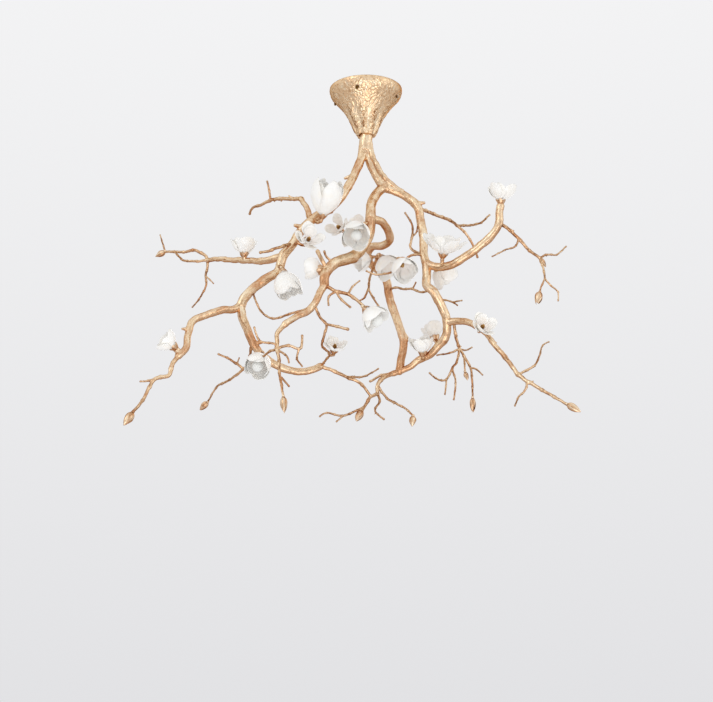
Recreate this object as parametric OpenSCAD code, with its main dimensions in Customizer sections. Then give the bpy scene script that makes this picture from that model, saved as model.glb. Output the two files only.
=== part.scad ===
// Branch chandelier: a cast brass bough hung from a bell canopy, with porcelain flowers
// Millimetres. The origin is the middle of the ceiling face, and the object hangs down along -Z.

/* [Canopy] */
// Radius of the canopy where it meets the ceiling
canopy_r = 85; // [80:1:95]
// Height of the canopy from the ceiling to its lip
canopy_h = 116; // [110:1:125]
// Wall thickness of the cast canopy
canopy_wall = 5; // [4:0.5:6]
// Depth of the side screws below the ceiling
side_screw_z = 26; // [24:1:28]

/* [Ceiling bracket] */
// Radius of the pressed steel bracket
bracket_r = 56; // [54:1:58]
// Thickness of the bracket sheet
bracket_t = 2.5; // [2:0.5:3]
// Distance between the two ceiling holes
ceiling_hole_gap = 90; // [84:1:94]
// Radius of each ceiling hole
ceiling_hole_r = 2.75; // [2.5:0.25:3]

/* [Suspension] */
// Outer radius of the threaded tube
tube_r = 5; // [4.5:0.5:5.5]
// Wall of the threaded tube
tube_wall = 1.5; // [1:0.25:2]

/* [Bough] */
// Thickness factor for all the stems and twigs
stem_scale = 1; // [0.9:0.05:1.1]
// How far the cast bark swells and sinks, as a share of the stem's radius
gnarl_depth = 0.09; // [0:0.01:0.12]

/* [Flowers] */
// Thickness of a porcelain petal
petal_t = 2; // [1.6:0.2:2.4]
// Thickness of the porcelain floor that each flower is clamped by
floor_t = 4; // [3:0.5:5]
// Radius of the porcelain floor
floor_r = 9; // [8:0.5:10]
// Radius of the frosted lamp globe
globe_r = 12; // [10:0.5:12.5]

/* [Hidden] */

brass = "#C98F4E";
gilt = "#D6B36A";
porcelain = "#F6F3EC";
steel = "#B9BBBD";
smooth = 64;                    // facets of a plain round piece on screen
fine = 32;                      // facets of a small hole or screw

screws = 4;                     // side screws round the canopy
screw_turn = -106;              // bearing of the first side screw
screw_r = 2;                    // M4
screw_head = [3.8, 2.6];        // radius and height of a pan head
fit_gap = 0.05;                 // running clearance of a screw in its thread
seat_r = canopy_r - 10.5;       // where a side screw's head sits
seat_room = 0.7;                // clearance round that head
tab_r = bracket_r + 2;          // inner face of a bracket tab
tab_w = 16;                     // width of a bracket tab
cable_hole_r = 9;               // hole in the bracket for the ceiling cable
earth_at = [-30, -36];          // earth screw on the bracket
floor_z = -canopy_h + 12;       // underside of the canopy's floor
socket_r = 16.5;                // recess under that floor, where the trunk goes in
hollow_r = 12;                  // inside radius at the bottom of the bell
trunk_top = floor_z;
tube_up = 18;                   // threaded tube above the underside of the floor
tube_down = 20;                 // and below it, in the trunk
nut_r = 9;
nut_h = 4.5;
washer_r = 10;
washer_t = 1.5;

block_size = [32, 16, 14];      // terminal block
block_at = [-16, -40];
poles = [-10, 0, 10];           // its three ways
pole_r = 1.8;
clamp_r = 1.6;
driver_size = [64, 26, 20];     // low-voltage lamp driver
driver_at = [-32, 16];
driver_lug = [6, 14, 3];
lead_r = 1.2;
LEAD = [[6, 24, -20.5], [6, 24, -30], [5, 16, -46], [2, 6, -66], [1.5, 0, -84], [1.5, 0, -98]];

// ---- Bough: hand-picked points on the centre line of each shoot -------------------------------
// A shoot is [first radius, last radius, [points]]

TRUNK = [
    [14, 12.5, [[0, 0, trunk_top], [0, 0, trunk_top - 8], [0, 0, -120], [-4, 0, -145], [-5, 0, -170],
        [-8, 0, -192]]],
    [9.5, 9, [[-5, 0, -165], [-20, -10, -195], [-35, -30, -240], [-55, -45, -280], [-80, -50, -310]]],
    [10, 10, [[-5, 0, -165], [5, 5, -190], [30, 5, -225], [50, 5, -242]]],
    [6.5, 5.5, [[6, -4, -128], [10, -4, -165], [26, -4, -195], [48, -4, -222], [68, 0, -240]]]
];
LEFT_STEM = [
    [10, 10.5, [[-80, -50, -310], [-110, -60, -330], [-145, -65, -365], [-165, -70, -400],
        [-185, -80, -430], [-195, -80, -465], [-220, -90, -485], [-245, -95, -505],
        [-265, -100, -530], [-275, -100, -550]]],
    [5.5, 3.8, [[-195, -81, -456], [-191, -91, -458], [-188, -96, -461]]]
];
LEFT_RING = [
    [9.5, 7.5, [[-275, -100, -550], [-270, -100, -575], [-260, -100, -600], [-250, -95, -625],
        [-230, -90, -655], [-210, -85, -670], [-180, -80, -685], [-150, -70, -690],
        [-120, -65, -685], [-100, -60, -675]]],
    [3.5, 3, [[-250, -95, -625], [-255, -60, -645], [-265, -25, -660], [-275, 0, -670]]],
    [3.2, 2.2, [[-275, 0, -670], [-310, 30, -690], [-340, 55, -700], [-365, 90, -730]]],
    [3.2, 2.4, [[-275, 0, -670], [-305, -10, -650], [-330, -20, -640]]],
    [2.2, 1.8, [[-290, -5, -660], [-285, 0, -645]]],
    [5, 3.8, [[-232, -91, -654], [-228, -95, -652], [-225, -99, -654]]]
];
LEFT_ARM = [
    [8.5, 7, [[-275, -100, -550], [-290, -110, -560], [-310, -125, -565], [-330, -140, -575],
        [-355, -160, -590], [-370, -175, -605], [-375, -190, -635], [-375, -205, -665],
        [-390, -215, -685]]],
    [5, 3, [[-390, -215, -685], [-400, -225, -705], [-405, -235, -730], [-430, -250, -740],
        [-440, -260, -760], [-450, -275, -790], [-465, -290, -815]]],
    [3, 2, [[-430, -250, -740], [-440, -260, -745], [-455, -275, -750]]],
    [6, 6, [[-386, -212, -681], [-390, -213, -677], [-395, -214, -671]]]
];
FAR_LEFT_BRANCH = [
    [9, 5, [[-185, -80, -430], [-210, -70, -435], [-235, -55, -435], [-270, -25, -425],
        [-305, 5, -415], [-340, 30, -405], [-370, 55, -400]]],
    [4, 3, [[-370, 55, -400], [-380, 60, -385], [-405, 75, -370], [-430, 90, -370],
        [-455, 105, -365], [-480, 120, -360]]],
    [3.2, 2.5, [[-370, 55, -400], [-395, 50, -405], [-425, 60, -400], [-440, 80, -385],
        [-455, 105, -365]]],
    [2.6, 1.8, [[-480, 120, -360], [-485, 120, -345], [-495, 130, -315]]],
    [3.5, 2, [[-370, 55, -400], [-370, 60, -415], [-375, 70, -435], [-375, 80, -455],
        [-390, 95, -480], [-410, 110, -500]]],
    [2.2, 1.8, [[-375, 70, -435], [-355, 60, -455]]],
    [3.5, 4, [[-275, -23, -425], [-276, -25, -422], [-276, -26, -418]]]
];
LEFT_STEM_TWIGS = [
    [7.5, 5.5, [[-125, -62, -342], [-135, -40, -305], [-150, -15, -275]]],
    [5, 2.8, [[-150, -15, -275], [-175, 10, -265], [-205, 40, -255], [-225, 65, -250],
        [-250, 85, -255], [-270, 105, -255], [-280, 120, -265]]],
    [3, 2.4, [[-225, 65, -250], [-230, 70, -225], [-235, 75, -200]]]
];
LEFT_SPUR = [
    [4, 3, [[-165, -70, -400], [-180, -95, -410], [-210, -120, -430], [-230, -140, -440]]],
    [3.6, 3.4, [[-160, -69, -390], [-147, -74, -402], [-135, -79, -405]]],
    [5, 3.6, [[-118, -62, -342], [-109, -72, -350], [-102, -80, -350]]]
];
CENTRE_STEM = [
    [10.5, 11.5, [[40, 5, -240], [30, 0, -250], [15, -20, -280], [10, -40, -310], [10, -50, -335]]],
    [11.5, 12, [[10, -50, -335], [6, -52, -370], [-8, -66, -405], [-28, -96, -437]]],
    [9, 9, [[10, -50, -335], [35, -30, -335], [50, 0, -345], [55, 25, -360], [40, 55, -365],
        [15, 80, -360], [5, 95, -375], [10, 100, -395], [45, 90, -425]]],
    [4.5, 3, [[14, -24, -285], [4, 5, -312], [-8, 32, -336], [-17, 48, -342], [-36, 59, -337],
        [-54, 62, -328]]],
    [5, 3.6, [[9, -50, -342], [-4, -68, -352], [-17, -90, -359], [-22, -100, -360]]]
];
FRONT_BRANCH = [
    [13, 9.5, [[-28, -96, -437], [-48, -128, -453], [-70, -155, -470], [-85, -170, -490],
        [-90, -180, -510], [-90, -180, -525]]],
    [8, 6.5, [[-90, -180, -525], [-100, -190, -545], [-110, -200, -570], [-125, -210, -590],
        [-145, -215, -600], [-170, -225, -620]]],
    [5.5, 4, [[-170, -225, -620], [-185, -230, -640], [-185, -235, -660], [-185, -235, -675]]],
    [5, 4, [[-85, -170, -490], [-95, -180, -470], [-105, -180, -450]]],
    [3, 2.5, [[-70, -160, -470], [-85, -170, -460], [-90, -180, -450]]]
];
FRONT_SPRAY = [
    [3.6, 2.4, [[-185, -235, -675], [-180, -240, -700], [-180, -240, -720], [-175, -240, -750],
        [-170, -245, -775]]],
    [2.6, 2, [[-175, -240, -735], [-160, -225, -750]]],
    [3.2, 2.4, [[-185, -235, -675], [-165, -225, -665], [-140, -215, -670], [-135, -210, -655],
        [-135, -205, -640]]],
    [2.6, 1.8, [[-140, -215, -670], [-145, -210, -690], [-135, -205, -705]]],
    [3, 2.4, [[-185, -235, -675], [-200, -215, -675], [-215, -190, -680]]],
    [3, 2, [[-185, -235, -675], [-190, -240, -665], [-220, -250, -660], [-230, -260, -635]]],
    [2.6, 1.8, [[-185, -235, -675], [-165, -240, -690], [-160, -245, -705]]]
];
FRONT_TWIGS = [
    [4, 3, [[-90, -180, -525], [-65, -190, -540], [-40, -200, -550], [-25, -205, -560],
        [-10, -210, -575], [-5, -215, -583]]],
    [2.6, 1.8, [[-40, -200, -550], [-30, -190, -530], [-15, -180, -515]]],
    [2.8, 2, [[-65, -190, -540], [-80, -200, -555], [-80, -210, -575]]],
    [2.8, 2.4, [[-65, -190, -540], [-55, -200, -560], [-35, -210, -580]]]
];
FRONT_DROPPER = [
    [3, 2.4, [[-110, -200, -570], [-100, -190, -595], [-85, -180, -610], [-90, -165, -630],
        [-95, -150, -650], [-80, -120, -660], [-90, -90, -670], [-100, -60, -675]]],
    [2.8, 3, [[-85, -180, -610], [-70, -190, -615], [-40, -200, -625]]],
    [3.2, 3.2, [[-82, -122, -660], [-77, -115, -663], [-73, -112, -660]]],
    [2.8, 2.2, [[-110, -200, -570], [-130, -190, -580], [-165, -170, -585], [-200, -150, -590],
        [-230, -125, -565], [-250, -95, -515]]]
];
CENTRE_DOWN_STEM = [
    [9.5, 9, [[45, 90, -425], [50, 85, -450], [55, 80, -485], [65, 70, -520], [75, 55, -555],
        [85, 45, -590], [85, 40, -615], [80, 35, -640], [75, 30, -670]]],
    [5, 3.6, [[75, 55, -555], [85, 50, -575], [98, 40, -594], [111, 31, -600]]]
];
RIGHT_STEM = [
    [10, 9.5, [[40, 5, -240], [65, 8, -246], [95, 10, -262], [120, 0, -290], [125, -5, -325],
        [130, -15, -360], [130, -25, -390], [130, -35, -415], [135, -45, -440]]],
    [10, 9.5, [[135, -45, -440], [135, -50, -465], [135, -50, -490], [150, -50, -505],
        [165, -40, -530], [175, -35, -550], [180, -30, -570], [180, -20, -590], [175, -10, -605]]],
    [9.5, 6, [[175, -10, -605], [160, 0, -620], [145, 10, -635], [120, 20, -645], [100, 25, -660],
        [75, 30, -670], [60, 30, -675]]],
    [4.5, 3.6, [[121, 19, -646], [127, 12, -646], [128, 7, -643]]],
    [4.5, 3.4, [[133, -42, -430], [142, -36, -431], [153, -27, -435]]],
    [3.4, 3, [[160, 0, -620], [164, 22, -606], [160, 42, -594]]]
];
RIGHT_UP_BRANCH = [
    [9, 8.5, [[135, -45, -440], [165, -60, -450], [190, -80, -450], [220, -95, -435],
        [245, -110, -420], [275, -120, -395], [290, -130, -370], [291, -130, -345], [294, -129, -329]]],
    [4, 3.2, [[290, -130, -370], [310, -120, -380], [335, -110, -400], [355, -100, -420],
        [385, -80, -435]]],
    [2.8, 2, [[385, -80, -435], [400, -70, -425], [415, -55, -420], [430, -40, -415],
        [455, -20, -390]]],
    [2.8, 2.4, [[385, -80, -435], [390, -95, -465], [390, -105, -490]]],
    [2.4, 2, [[390, -105, -490], [380, -120, -510], [375, -125, -525]]],
    [2.4, 1.8, [[390, -105, -490], [405, -100, -505], [420, -90, -515], [420, -90, -535]]],
    [2.6, 1.8, [[335, -110, -400], [325, -120, -420], [300, -140, -435], [270, -160, -455]]],
    [4, 4, [[168, -62, -450], [169, -70, -436]]]
];
RIGHT_BACK_SPRAY = [
    [4.2, 3.4, [[120, 0, -290], [135, 20, -290], [160, 50, -290], [200, 95, -290], [220, 120, -295]]],
    [3.2, 2.2, [[220, 120, -295], [250, 150, -285], [280, 180, -270], [295, 200, -255],
        [310, 220, -235]]],
    [3.2, 2.6, [[220, 120, -295], [240, 130, -310], [255, 140, -330], [265, 145, -350],
        [270, 150, -365]]]
];
RIGHT_OUT_BRANCH = [
    [8.5, 7, [[180, -30, -570], [195, -40, -570], [220, -60, -575], [240, -80, -590]]],
    [6, 4.5, [[240, -80, -590], [260, -90, -610], [280, -110, -645], [300, -125, -675],
        [320, -145, -710]]],
    [4.5, 3, [[320, -145, -710], [335, -155, -725], [360, -170, -745], [385, -190, -765],
        [410, -210, -785]]],
    [3, 1.8, [[320, -145, -710], [340, -140, -700], [360, -130, -685], [370, -120, -665],
        [380, -110, -640], [395, -100, -630]]],
    [3, 2, [[335, -155, -725], [335, -165, -740], [325, -170, -755], [315, -180, -765],
        [305, -190, -785]]]
];
RIGHT_HANGING_SPRAY = [
    [3.6, 3, [[195, -40, -570], [200, -20, -600], [210, -5, -625], [220, 5, -640]]],
    [3, 2.2, [[220, 5, -640], [235, 15, -665], [240, 25, -700], [240, 30, -730]]],
    [2.6, 1.8, [[210, -5, -625], [185, -30, -640], [155, -55, -650]]],
    [2.8, 2, [[210, -5, -625], [200, -25, -660], [190, -35, -675], [195, -45, -700],
        [195, -50, -720], [190, -60, -750]]],
    [2.6, 2, [[190, -35, -675], [175, -60, -705], [155, -85, -710], [135, -105, -700]]],
    [2.2, 1.8, [[175, -60, -705], [170, -70, -740]]],
    [2.4, 2, [[220, 5, -640], [220, -10, -665], [220, -15, -680]]],
    [2.4, 1.8, [[235, 15, -665], [250, 30, -665], [265, 45, -675]]],
    [2, 1.8, [[210, -5, -625], [225, 10, -625], [240, 25, -615]]]
];
LINK_TWIG = [
    [2.8, 2.4, [[54, 80, -465], [70, 60, -465], [85, 35, -475], [105, 0, -485], [125, -30, -500],
        [142, -50, -500]]],
    [2.2, 1.8, [[105, 0, -485], [112, -20, -475]]]
];
CENTRE_TWIG = [
    [3.2, 2.6, [[22, 97, -404], [20, 80, -408], [14, 60, -425], [8, 35, -455], [5, 0, -485]]],
    [2.6, 2, [[5, 0, -485], [-5, -15, -510], [-20, -25, -520]]],
    [2.6, 2, [[5, 0, -485], [20, 10, -510], [40, 20, -535]]],
    [4, 3.4, [[20, 80, -408], [24, 66, -399], [25, 53, -393]]],
    [3.4, 3.2, [[25, 54, -393], [21, 47, -395], [17, 44, -396]]],
    [3.4, 3.2, [[25, 54, -393], [28, 46, -390], [31, 41, -391]]]
];
SIDE_TWIG = [
    [3.2, 2.2, [[130, -35, -415], [110, -30, -405], [100, -25, -390], [105, -15, -365],
        [105, -10, -335], [90, -5, -305]]],
    [2.2, 1.8, [[105, -15, -365], [115, -15, -355], [117, -32, -345]]],
    [3, 2, [[130, -35, -415], [100, -50, -420], [80, -70, -445], [55, -90, -470],
        [25, -105, -480], [0, -115, -475]]],
    [3.4, 3.2, [[90, -60, -433], [79, -72, -433], [70, -80, -437]]]
];
BACK_TWIG = [
    [2.6, 1.8, [[165, -40, -530], [175, 20, -505], [200, 60, -500], [215, 90, -500]]],
    [2, 1.8, [[200, 60, -500], [225, 85, -490]]]
];
FOOT_SPRAY = [
    [5.5, 4, [[60, 30, -675], [40, 20, -685], [25, 10, -705], [25, 5, -725]]],
    [3.6, 2.6, [[60, 30, -675], [35, 50, -675], [10, 70, -685]]],
    [4, 3.2, [[25, 5, -725], [10, -10, -735], [0, -15, -750], [-10, -30, -770]]],
    [3, 2.2, [[25, 5, -725], [30, 20, -740], [20, 35, -760], [40, 55, -775]]],
    [3, 2.2, [[25, 10, -705], [45, -20, -740], [65, -40, -755], [85, -60, -770], [100, -85, -790]]],
    [2.8, 1.8, [[-5, -22, -760], [-50, -60, -785], [-85, -95, -785], [-100, -110, -795]]],
    [2, 1.8, [[-50, -60, -785], [-65, -70, -800]]],
    [4, 3, [[-100, -60, -675], [-70, -50, -685], [-45, -40, -695], [-20, -35, -705],
        [-5, -20, -715], [10, -10, -735]]],
    [2.8, 1.8, [[-45, -40, -695], [-20, -60, -700], [0, -80, -700], [25, -105, -690]]]
];

// A bud is [tip of its twig, way it points, length, radius as a share of its length]
BUDS = [
    [[-465, -290, -815], [-0.4, -0.4, -0.8], 34, 0.24],
    [[-365, 90, -730], [-0.7, 0.4, -0.6], 28, 0.24],
    [[-480, 120, -360], [-0.85, 0.3, -0.35], 28, 0.24],
    [[-170, -245, -775], [0.1, -0.1, -1], 34, 0.18],
    [[410, -210, -785], [0.7, -0.4, -0.5], 34, 0.22],
    [[375, -125, -525], [-0.2, -0.3, -0.9], 30, 0.24],
    [[385, -80, -435], [0.5, 0.3, -0.7], 24, 0.2],
    [[240, 30, -730], [0, 0.1, -1], 32, 0.18],
    [[220, -15, -680], [0.2, -0.3, -0.9], 22, 0.2],
    [[-10, -30, -770], [-0.4, -0.5, -0.8], 32, 0.24],
    [[100, -85, -790], [-0.1, -0.3, -0.9], 25, 0.28]
];

// A flower is [foot, way it faces, petal length, how open it is, petals, turn about its own axis]
FLOWERS = [
    [[-98, -86, -338], [0.22, -0.38, 0.9], 86, 0, 7, 0],
    [[-276, -27, -410], [0, -0.15, 1], 40, 0.35, 6, 20],
    [[-399, -219, -666], [-0.75, -0.35, 0.5], 31, 0.3, 6, 10],
    [[-130, -92, -400], [0.3, -0.85, 0.35], 34, 0.8, 7, 0],
    [[-184, -98, -472], [0.3, -0.15, -0.93], 60, 0.05, 6, 30],
    [[-98, -160, -484], [-0.8, 0.5, 0.25], 34, 0.2, 6, 0],
    [[-60, 50, -325], [-0.5, -0.8, 0.2], 30, 0.6, 7, 10],
    [[-20, 52, -328], [-0.2, 0.2, 0.95], 30, 0.3, 6, 40],
    [[-22, -108, -370], [0, -0.6, -0.75], 56, 0.2, 7, 15],
    [[8, 40, -400], [-0.8, -0.35, -0.35], 38, 0.2, 6, 0],
    [[36, 38, -400], [0.5, -0.3, -0.8], 50, 0.25, 6, 25],
    [[74, -88, -446], [0.3, -0.6, -0.75], 50, 0.12, 6, 5],
    [[170, -76, -426], [0.1, -0.4, 0.85], 54, 0.7, 9, 12],
    [[160, -20, -440], [0.55, 0.5, -0.35], 44, 0.3, 6, 30],
    [[295, -130, -320], [0.1, -0.1, 1], 42, 0.4, 7, 0],
    [[249, -99, -600], [0.3, -0.85, 0.35], 30, 0.6, 7, 20],
    [[-2, -220, -588], [0.62, -0.3, -0.72], 44, 0.25, 6, 10],
    [[127, 4, -632], [-0.1, -0.3, 0.9], 38, 0.25, 7, 0],
    [[158, 48, -588], [-0.2, 0.3, 0.9], 36, 0.2, 6, 35],
    [[-70, -119, -652], [0.15, -0.6, 0.7], 26, 0.6, 7, 15],
    [[-227, -106, -662], [-0.15, -0.6, -0.7], 54, 0.1, 7, 5]
];
LAMPS = [1, 5, 9, 17, 21];      // flowers that hold a lamp

calyx_h = 14;                   // brass cup under a flower
stud_r = 2;                     // screw that holds a flower on its calyx
stud_down = 6;                  // how far that screw goes down into the calyx
holder_r = 5.5;                 // ceramic lamp holder
holder_h = 13;
lamp_pins = [-2, 2];            // places of a lamp's two pins
pin_r = 0.4;
pin_gap = 0.25;                 // room round a pin in its hole
pin_reach = 7;
small_flower = 36;              // petal length up to which a flower has a small pistil
neck_h = 9;                     // plain neck under the globe
neck_r = 4.2;
rows = 5;                       // turned steps along a petal
notch_from = 0.38;              // share of a petal's length where the notches start
cuts = [notch_from, 0.55, 0.7, 0.82, 0.92, 1.05];

// ---- Helpers ----------------------------------------------------------------------------------

function unit(v) = v / norm(v);
function point(p, i) =
    i < 0 ? 2 * p[0] - p[1] : i >= len(p) ? 2 * p[len(p) - 1] - p[len(p) - 2] : p[i];
// A smooth curve through the points: piece i at t from 0 to 1
function bend(p, i, t) =
    let (a = point(p, i - 1), b = p[i], c = p[i + 1], d = point(p, i + 2))
    (2 * b + (c - a) * t + (2 * a - 5 * b + 4 * c - d) * t * t + (3 * b - a - 3 * c + d) * t * t * t) / 2;
function curve(p, steps) =
    [for (i = [0:len(p) - 2]) for (s = [0:steps - 1]) bend(p, i, s / steps), p[len(p) - 1]];
function heading(c, i) = unit(c[min(i + 1, len(c) - 1)] - c[max(i - 1, 0)]);
function square_to(v, t) = unit(v - (v * t) * t);
function first_side(t) = square_to(abs(t.z) > 0.8 ? [1, 0, 0] : [0, 0, 1], t);
// Sideways directions carried along the curve so that the tube doesn't twist
function sides_of(c) = [for (i = 0, v = first_side(heading(c, 0)); i < len(c);
    i = i + 1, v = square_to(v, heading(c, min(i, len(c) - 1)))) v];
// Swellings and flutes of the cast bark, as a factor on the radius
function gnarl(i, a) = 1 + gnarl_depth * (0.6 * sin(3 * a + 38 * i) + 0.6 * sin(131 * i + a));

// A tapering tube along hand-picked points, with or without bark, its flats turned by spin
module sweep(p, r0, r1, bark, spin = 0) {
    thick = r0 > 5;
    c = curve(p, thick ? 3 : 2);
    side = sides_of(c);
    n = thick ? 8 : 6;
    last = len(c) - 1;
    rings = [for (i = [0:last])
        let (r = r0 + (r1 - r0) * i / last, t = heading(c, i), u = square_to(side[i], t), w = cross(t, u))
        for (k = [0:n - 1]) let (a = 360 * k / n + spin)
            c[i] + r * (bark ? gnarl(i, a) : 1) * (cos(a) * u + sin(a) * w)];
    walls = [for (i = [0:last - 1]) for (k = [0:n - 1])
        let (a = i * n + k, b = i * n + (k + 1) % n)
        each [[a, a + n, b + n], [a, b + n, b]]];
    polyhedron(rings, concat(walls, [[for (k = [0:n - 1]) k]], [[for (k = [n - 1:-1:0]) last * n + k]]));
}
// The shoots of one casting run into each other as one closed skin. Each is turned a little further
// than the last, so that the flats of two shoots never lie in one plane.
module casting(shoots, spin = 17) color(brass) resize([0, 0, 0]) union()
    for (i = [0:len(shoots) - 1]) let (s = shoots[i])
        sweep(s[2], stem_scale * s[0], stem_scale * s[1], true, spin * i);

// Puts a piece drawn along +Z at a point, facing a way
module facing(p, way) translate(p) rotate([0, acos(unit(way).z), atan2(way.y, way.x)]) children();

// ---- Canopy group -----------------------------------------------------------------------------

// Outside of the bell, from the ceiling down: [radius, height]
bell = [[canopy_r, 0], [canopy_r, -8], [canopy_r - 5, -20], [canopy_r - 16, -36], [canopy_r - 32, -54],
    [canopy_r - 46, -72], [canopy_r - 56, -90], [canopy_r - 62, -104], [canopy_r - 64, -canopy_h]];
// Inside of the bell, one wall in from the outside and flat on its floor
inside = concat([[0, 1], [canopy_r - canopy_wall, 1]],
    [for (k = [0:6]) [bell[k].x - canopy_wall - 0.5, bell[k].y]],
    [[hollow_r, floor_z + canopy_wall], [0, floor_z + canopy_wall]]);

module round_the_canopy() for (i = [0:screws - 1])
    rotate([0, 0, screw_turn + 360 / screws * i]) children();

module canopy() color(brass) difference() {
    rotate_extrude($fn = smooth) polygon(concat([[0, 0]], bell, [[0, -canopy_h]]));
    rotate_extrude($fn = smooth) polygon(inside);
    translate([0, 0, -canopy_h - 1]) cylinder(r = socket_r, h = floor_z + canopy_h + 1, $fn = smooth);
    translate([0, 0, -canopy_h]) cylinder(r = tube_r + 0.3, h = canopy_h, $fn = 48);
    round_the_canopy() translate([0, 0, -side_screw_z]) rotate([0, 90, 0]) {
        cylinder(r = screw_r + 0.3, h = canopy_r + 5, $fn = fine);
        translate([0, 0, seat_r]) cylinder(r = screw_head.x + seat_room, h = 20, $fn = fine);
    }
}

module bracket_drill(at, r) translate([at.x, at.y, -bracket_t - 1])
    cylinder(r = r, h = bracket_t + 2, $fn = fine);

// Round pressed plate under the ceiling, with a tapped tab turned down for each side screw
module ceiling_bracket() color(steel) difference() {
    union() {
        translate([0, 0, -bracket_t]) cylinder(r = bracket_r, h = bracket_t, $fn = smooth);
        round_the_canopy() {
            translate([bracket_r - 6, -tab_w / 2, -bracket_t]) cube([8 + bracket_t, tab_w, bracket_t]);
            translate([tab_r, -tab_w / 2, -side_screw_z - 6]) cube([bracket_t, tab_w, side_screw_z + 6]);
        }
    }
    for (side = [-1, 1]) bracket_drill([side * ceiling_hole_gap / 2, 0], ceiling_hole_r);
    bracket_drill([0, 0], cable_hole_r);
    bracket_drill(earth_at, screw_r + fit_gap);
    round_the_canopy() translate([tab_r - 1, 0, -side_screw_z]) rotate([0, 90, 0])
        cylinder(r = screw_r + fit_gap, h = bracket_t + 2, $fn = fine);
}

// A cross-slotted pan head screw along +Z, its head above the origin and its shank below
module screw(length) {
    translate([0, 0, -length]) cylinder(r = screw_r, h = length, $fn = fine);
    difference() {
        cylinder(r = screw_head.x, h = screw_head.y, $fn = fine);
        for (a = [0, 90]) rotate([0, 0, a]) translate([-2.2, -0.4, 1.2]) cube([4.4, 0.8, screw_head.y]);
    }
}

module canopy_screw(i) color(brass) rotate([0, 0, screw_turn + 360 / screws * (i - 1)])
    translate([seat_r, 0, -side_screw_z]) rotate([0, 90, 0]) screw(seat_r - tab_r + 2);

module earth_screw() color("#C9A94A")
    translate([earth_at.x, earth_at.y, -bracket_t]) mirror([0, 0, 1]) screw(bracket_t);

module terminal_block() color("#EDEBE4") difference() {
    translate([block_at.x, block_at.y, -bracket_t - block_size.z]) cube(block_size);
    for (x = poles) {
        translate([x, block_at.y - 1, -bracket_t - block_size.z / 2]) rotate([-90, 0, 0])
            cylinder(r = pole_r, h = 9, $fn = fine);
        translate([x, block_at.y + block_size.y / 2, -bracket_t - block_size.z - 1])
            cylinder(r = clamp_r, h = 5, $fn = fine);
    }
}

module lamp_driver() color("#F2F2F0") {
    translate([driver_at.x, driver_at.y, -bracket_t - driver_size.z]) cube(driver_size);
    for (x = [driver_at.x - driver_lug.x, driver_at.x + driver_size.x])
        translate([x, driver_at.y + 6, -bracket_t - driver_lug.z]) cube(driver_lug);
}

module threaded_tube() color(gilt) translate([0, 0, floor_z]) difference() {
    translate([0, 0, -tube_down]) cylinder(r = tube_r, h = tube_up + tube_down, $fn = 48);
    translate([0, 0, -tube_down - 1])
        cylinder(r = tube_r - tube_wall, h = tube_up + tube_down + 2, $fn = 48);
}

// A washer and a hexagon nut clamp the canopy's floor on the tube
module tube_nuts() color(gilt) translate([0, 0, floor_z + canopy_wall]) difference() {
    union() {
        cylinder(r = washer_r, h = washer_t, $fn = 48);
        translate([0, 0, washer_t]) cylinder(r = nut_r, h = nut_h, $fn = 6);
    }
    translate([0, 0, -1]) cylinder(r = tube_r + fit_gap, h = washer_t + nut_h + 2, $fn = 48);
}

// Two insulated leads from the driver down into the tube
module supply_leads() color("#E8E4DA")
    for (side = [-1, 1]) sweep([for (p = LEAD) [side * p.x, p.y, p.z]], lead_r, lead_r, false);

// ---- Bough ------------------------------------------------------------------------------------

module trunk() difference() {
    casting(TRUNK);
    color(brass) translate([0, 0, trunk_top - tube_down - 2])
        cylinder(r = tube_r + fit_gap, h = tube_down + 10, $fn = 48);
}
module left_stem() casting(LEFT_STEM);
module left_ring() casting(LEFT_RING);
module left_arm() casting(LEFT_ARM);
module far_left_branch() casting(FAR_LEFT_BRANCH, 11);
module left_stem_twigs() {
    casting(LEFT_STEM_TWIGS);
    casting(LEFT_SPUR);
}
module centre_stem() casting(CENTRE_STEM);
module front_branch() casting(FRONT_BRANCH);
module front_spray() casting(FRONT_SPRAY, 11);
module front_twigs() {
    casting(FRONT_TWIGS);
    casting(FRONT_DROPPER);
}
module centre_down_stem() casting(CENTRE_DOWN_STEM);
module right_stem() casting(RIGHT_STEM);
module right_up_branch() casting(RIGHT_UP_BRANCH);
module right_back_spray() casting(RIGHT_BACK_SPRAY);
module right_out_branch() casting(RIGHT_OUT_BRANCH);
module right_hanging_spray() casting(RIGHT_HANGING_SPRAY);
module link_twigs() {
    casting(LINK_TWIG);
    casting(CENTRE_TWIG);
    casting(SIDE_TWIG);
    casting(BACK_TWIG);
}
module foot_spray() casting(FOOT_SPRAY);

// A closed bud: a pointed egg on a short neck
module bud(length, wide) rotate_extrude($fn = 24) polygon([[0, -4], [2.6, -3], [3.4, 0],
    for (k = [1:8]) let (s = k / 9, swell = pow(sin(180 * pow(s, 0.75)), 0.8))
        [wide * length * swell + 0.6, length * s],
    [0, length]]);
module cast_buds() color(brass) for (b = BUDS) facing(b[0], b[1]) bud(b[2], b[3]);

// ---- Flowers ----------------------------------------------------------------------------------

function flower_at(i) = FLOWERS[i - 1];
module at_flower(i) facing(flower_at(i)[0], flower_at(i)[1]) children();

// Brass cup under a flower, bored for the screw of the pistil or of the lamp holder
module calyx() difference() {
    rotate_extrude($fn = fine)
        polygon([[0, -calyx_h], [3.4, -calyx_h], [4.2, -9], [7, -5], [8.6, -1.6], [8, 0], [0, 0]]);
    translate([0, 0, -stud_down - 2]) cylinder(r = stud_r + fit_gap, h = stud_down + 3, $fn = fine);
}
module flower_calyxes() color(brass) for (i = [1:len(FLOWERS)]) at_flower(i) calyx();

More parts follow.
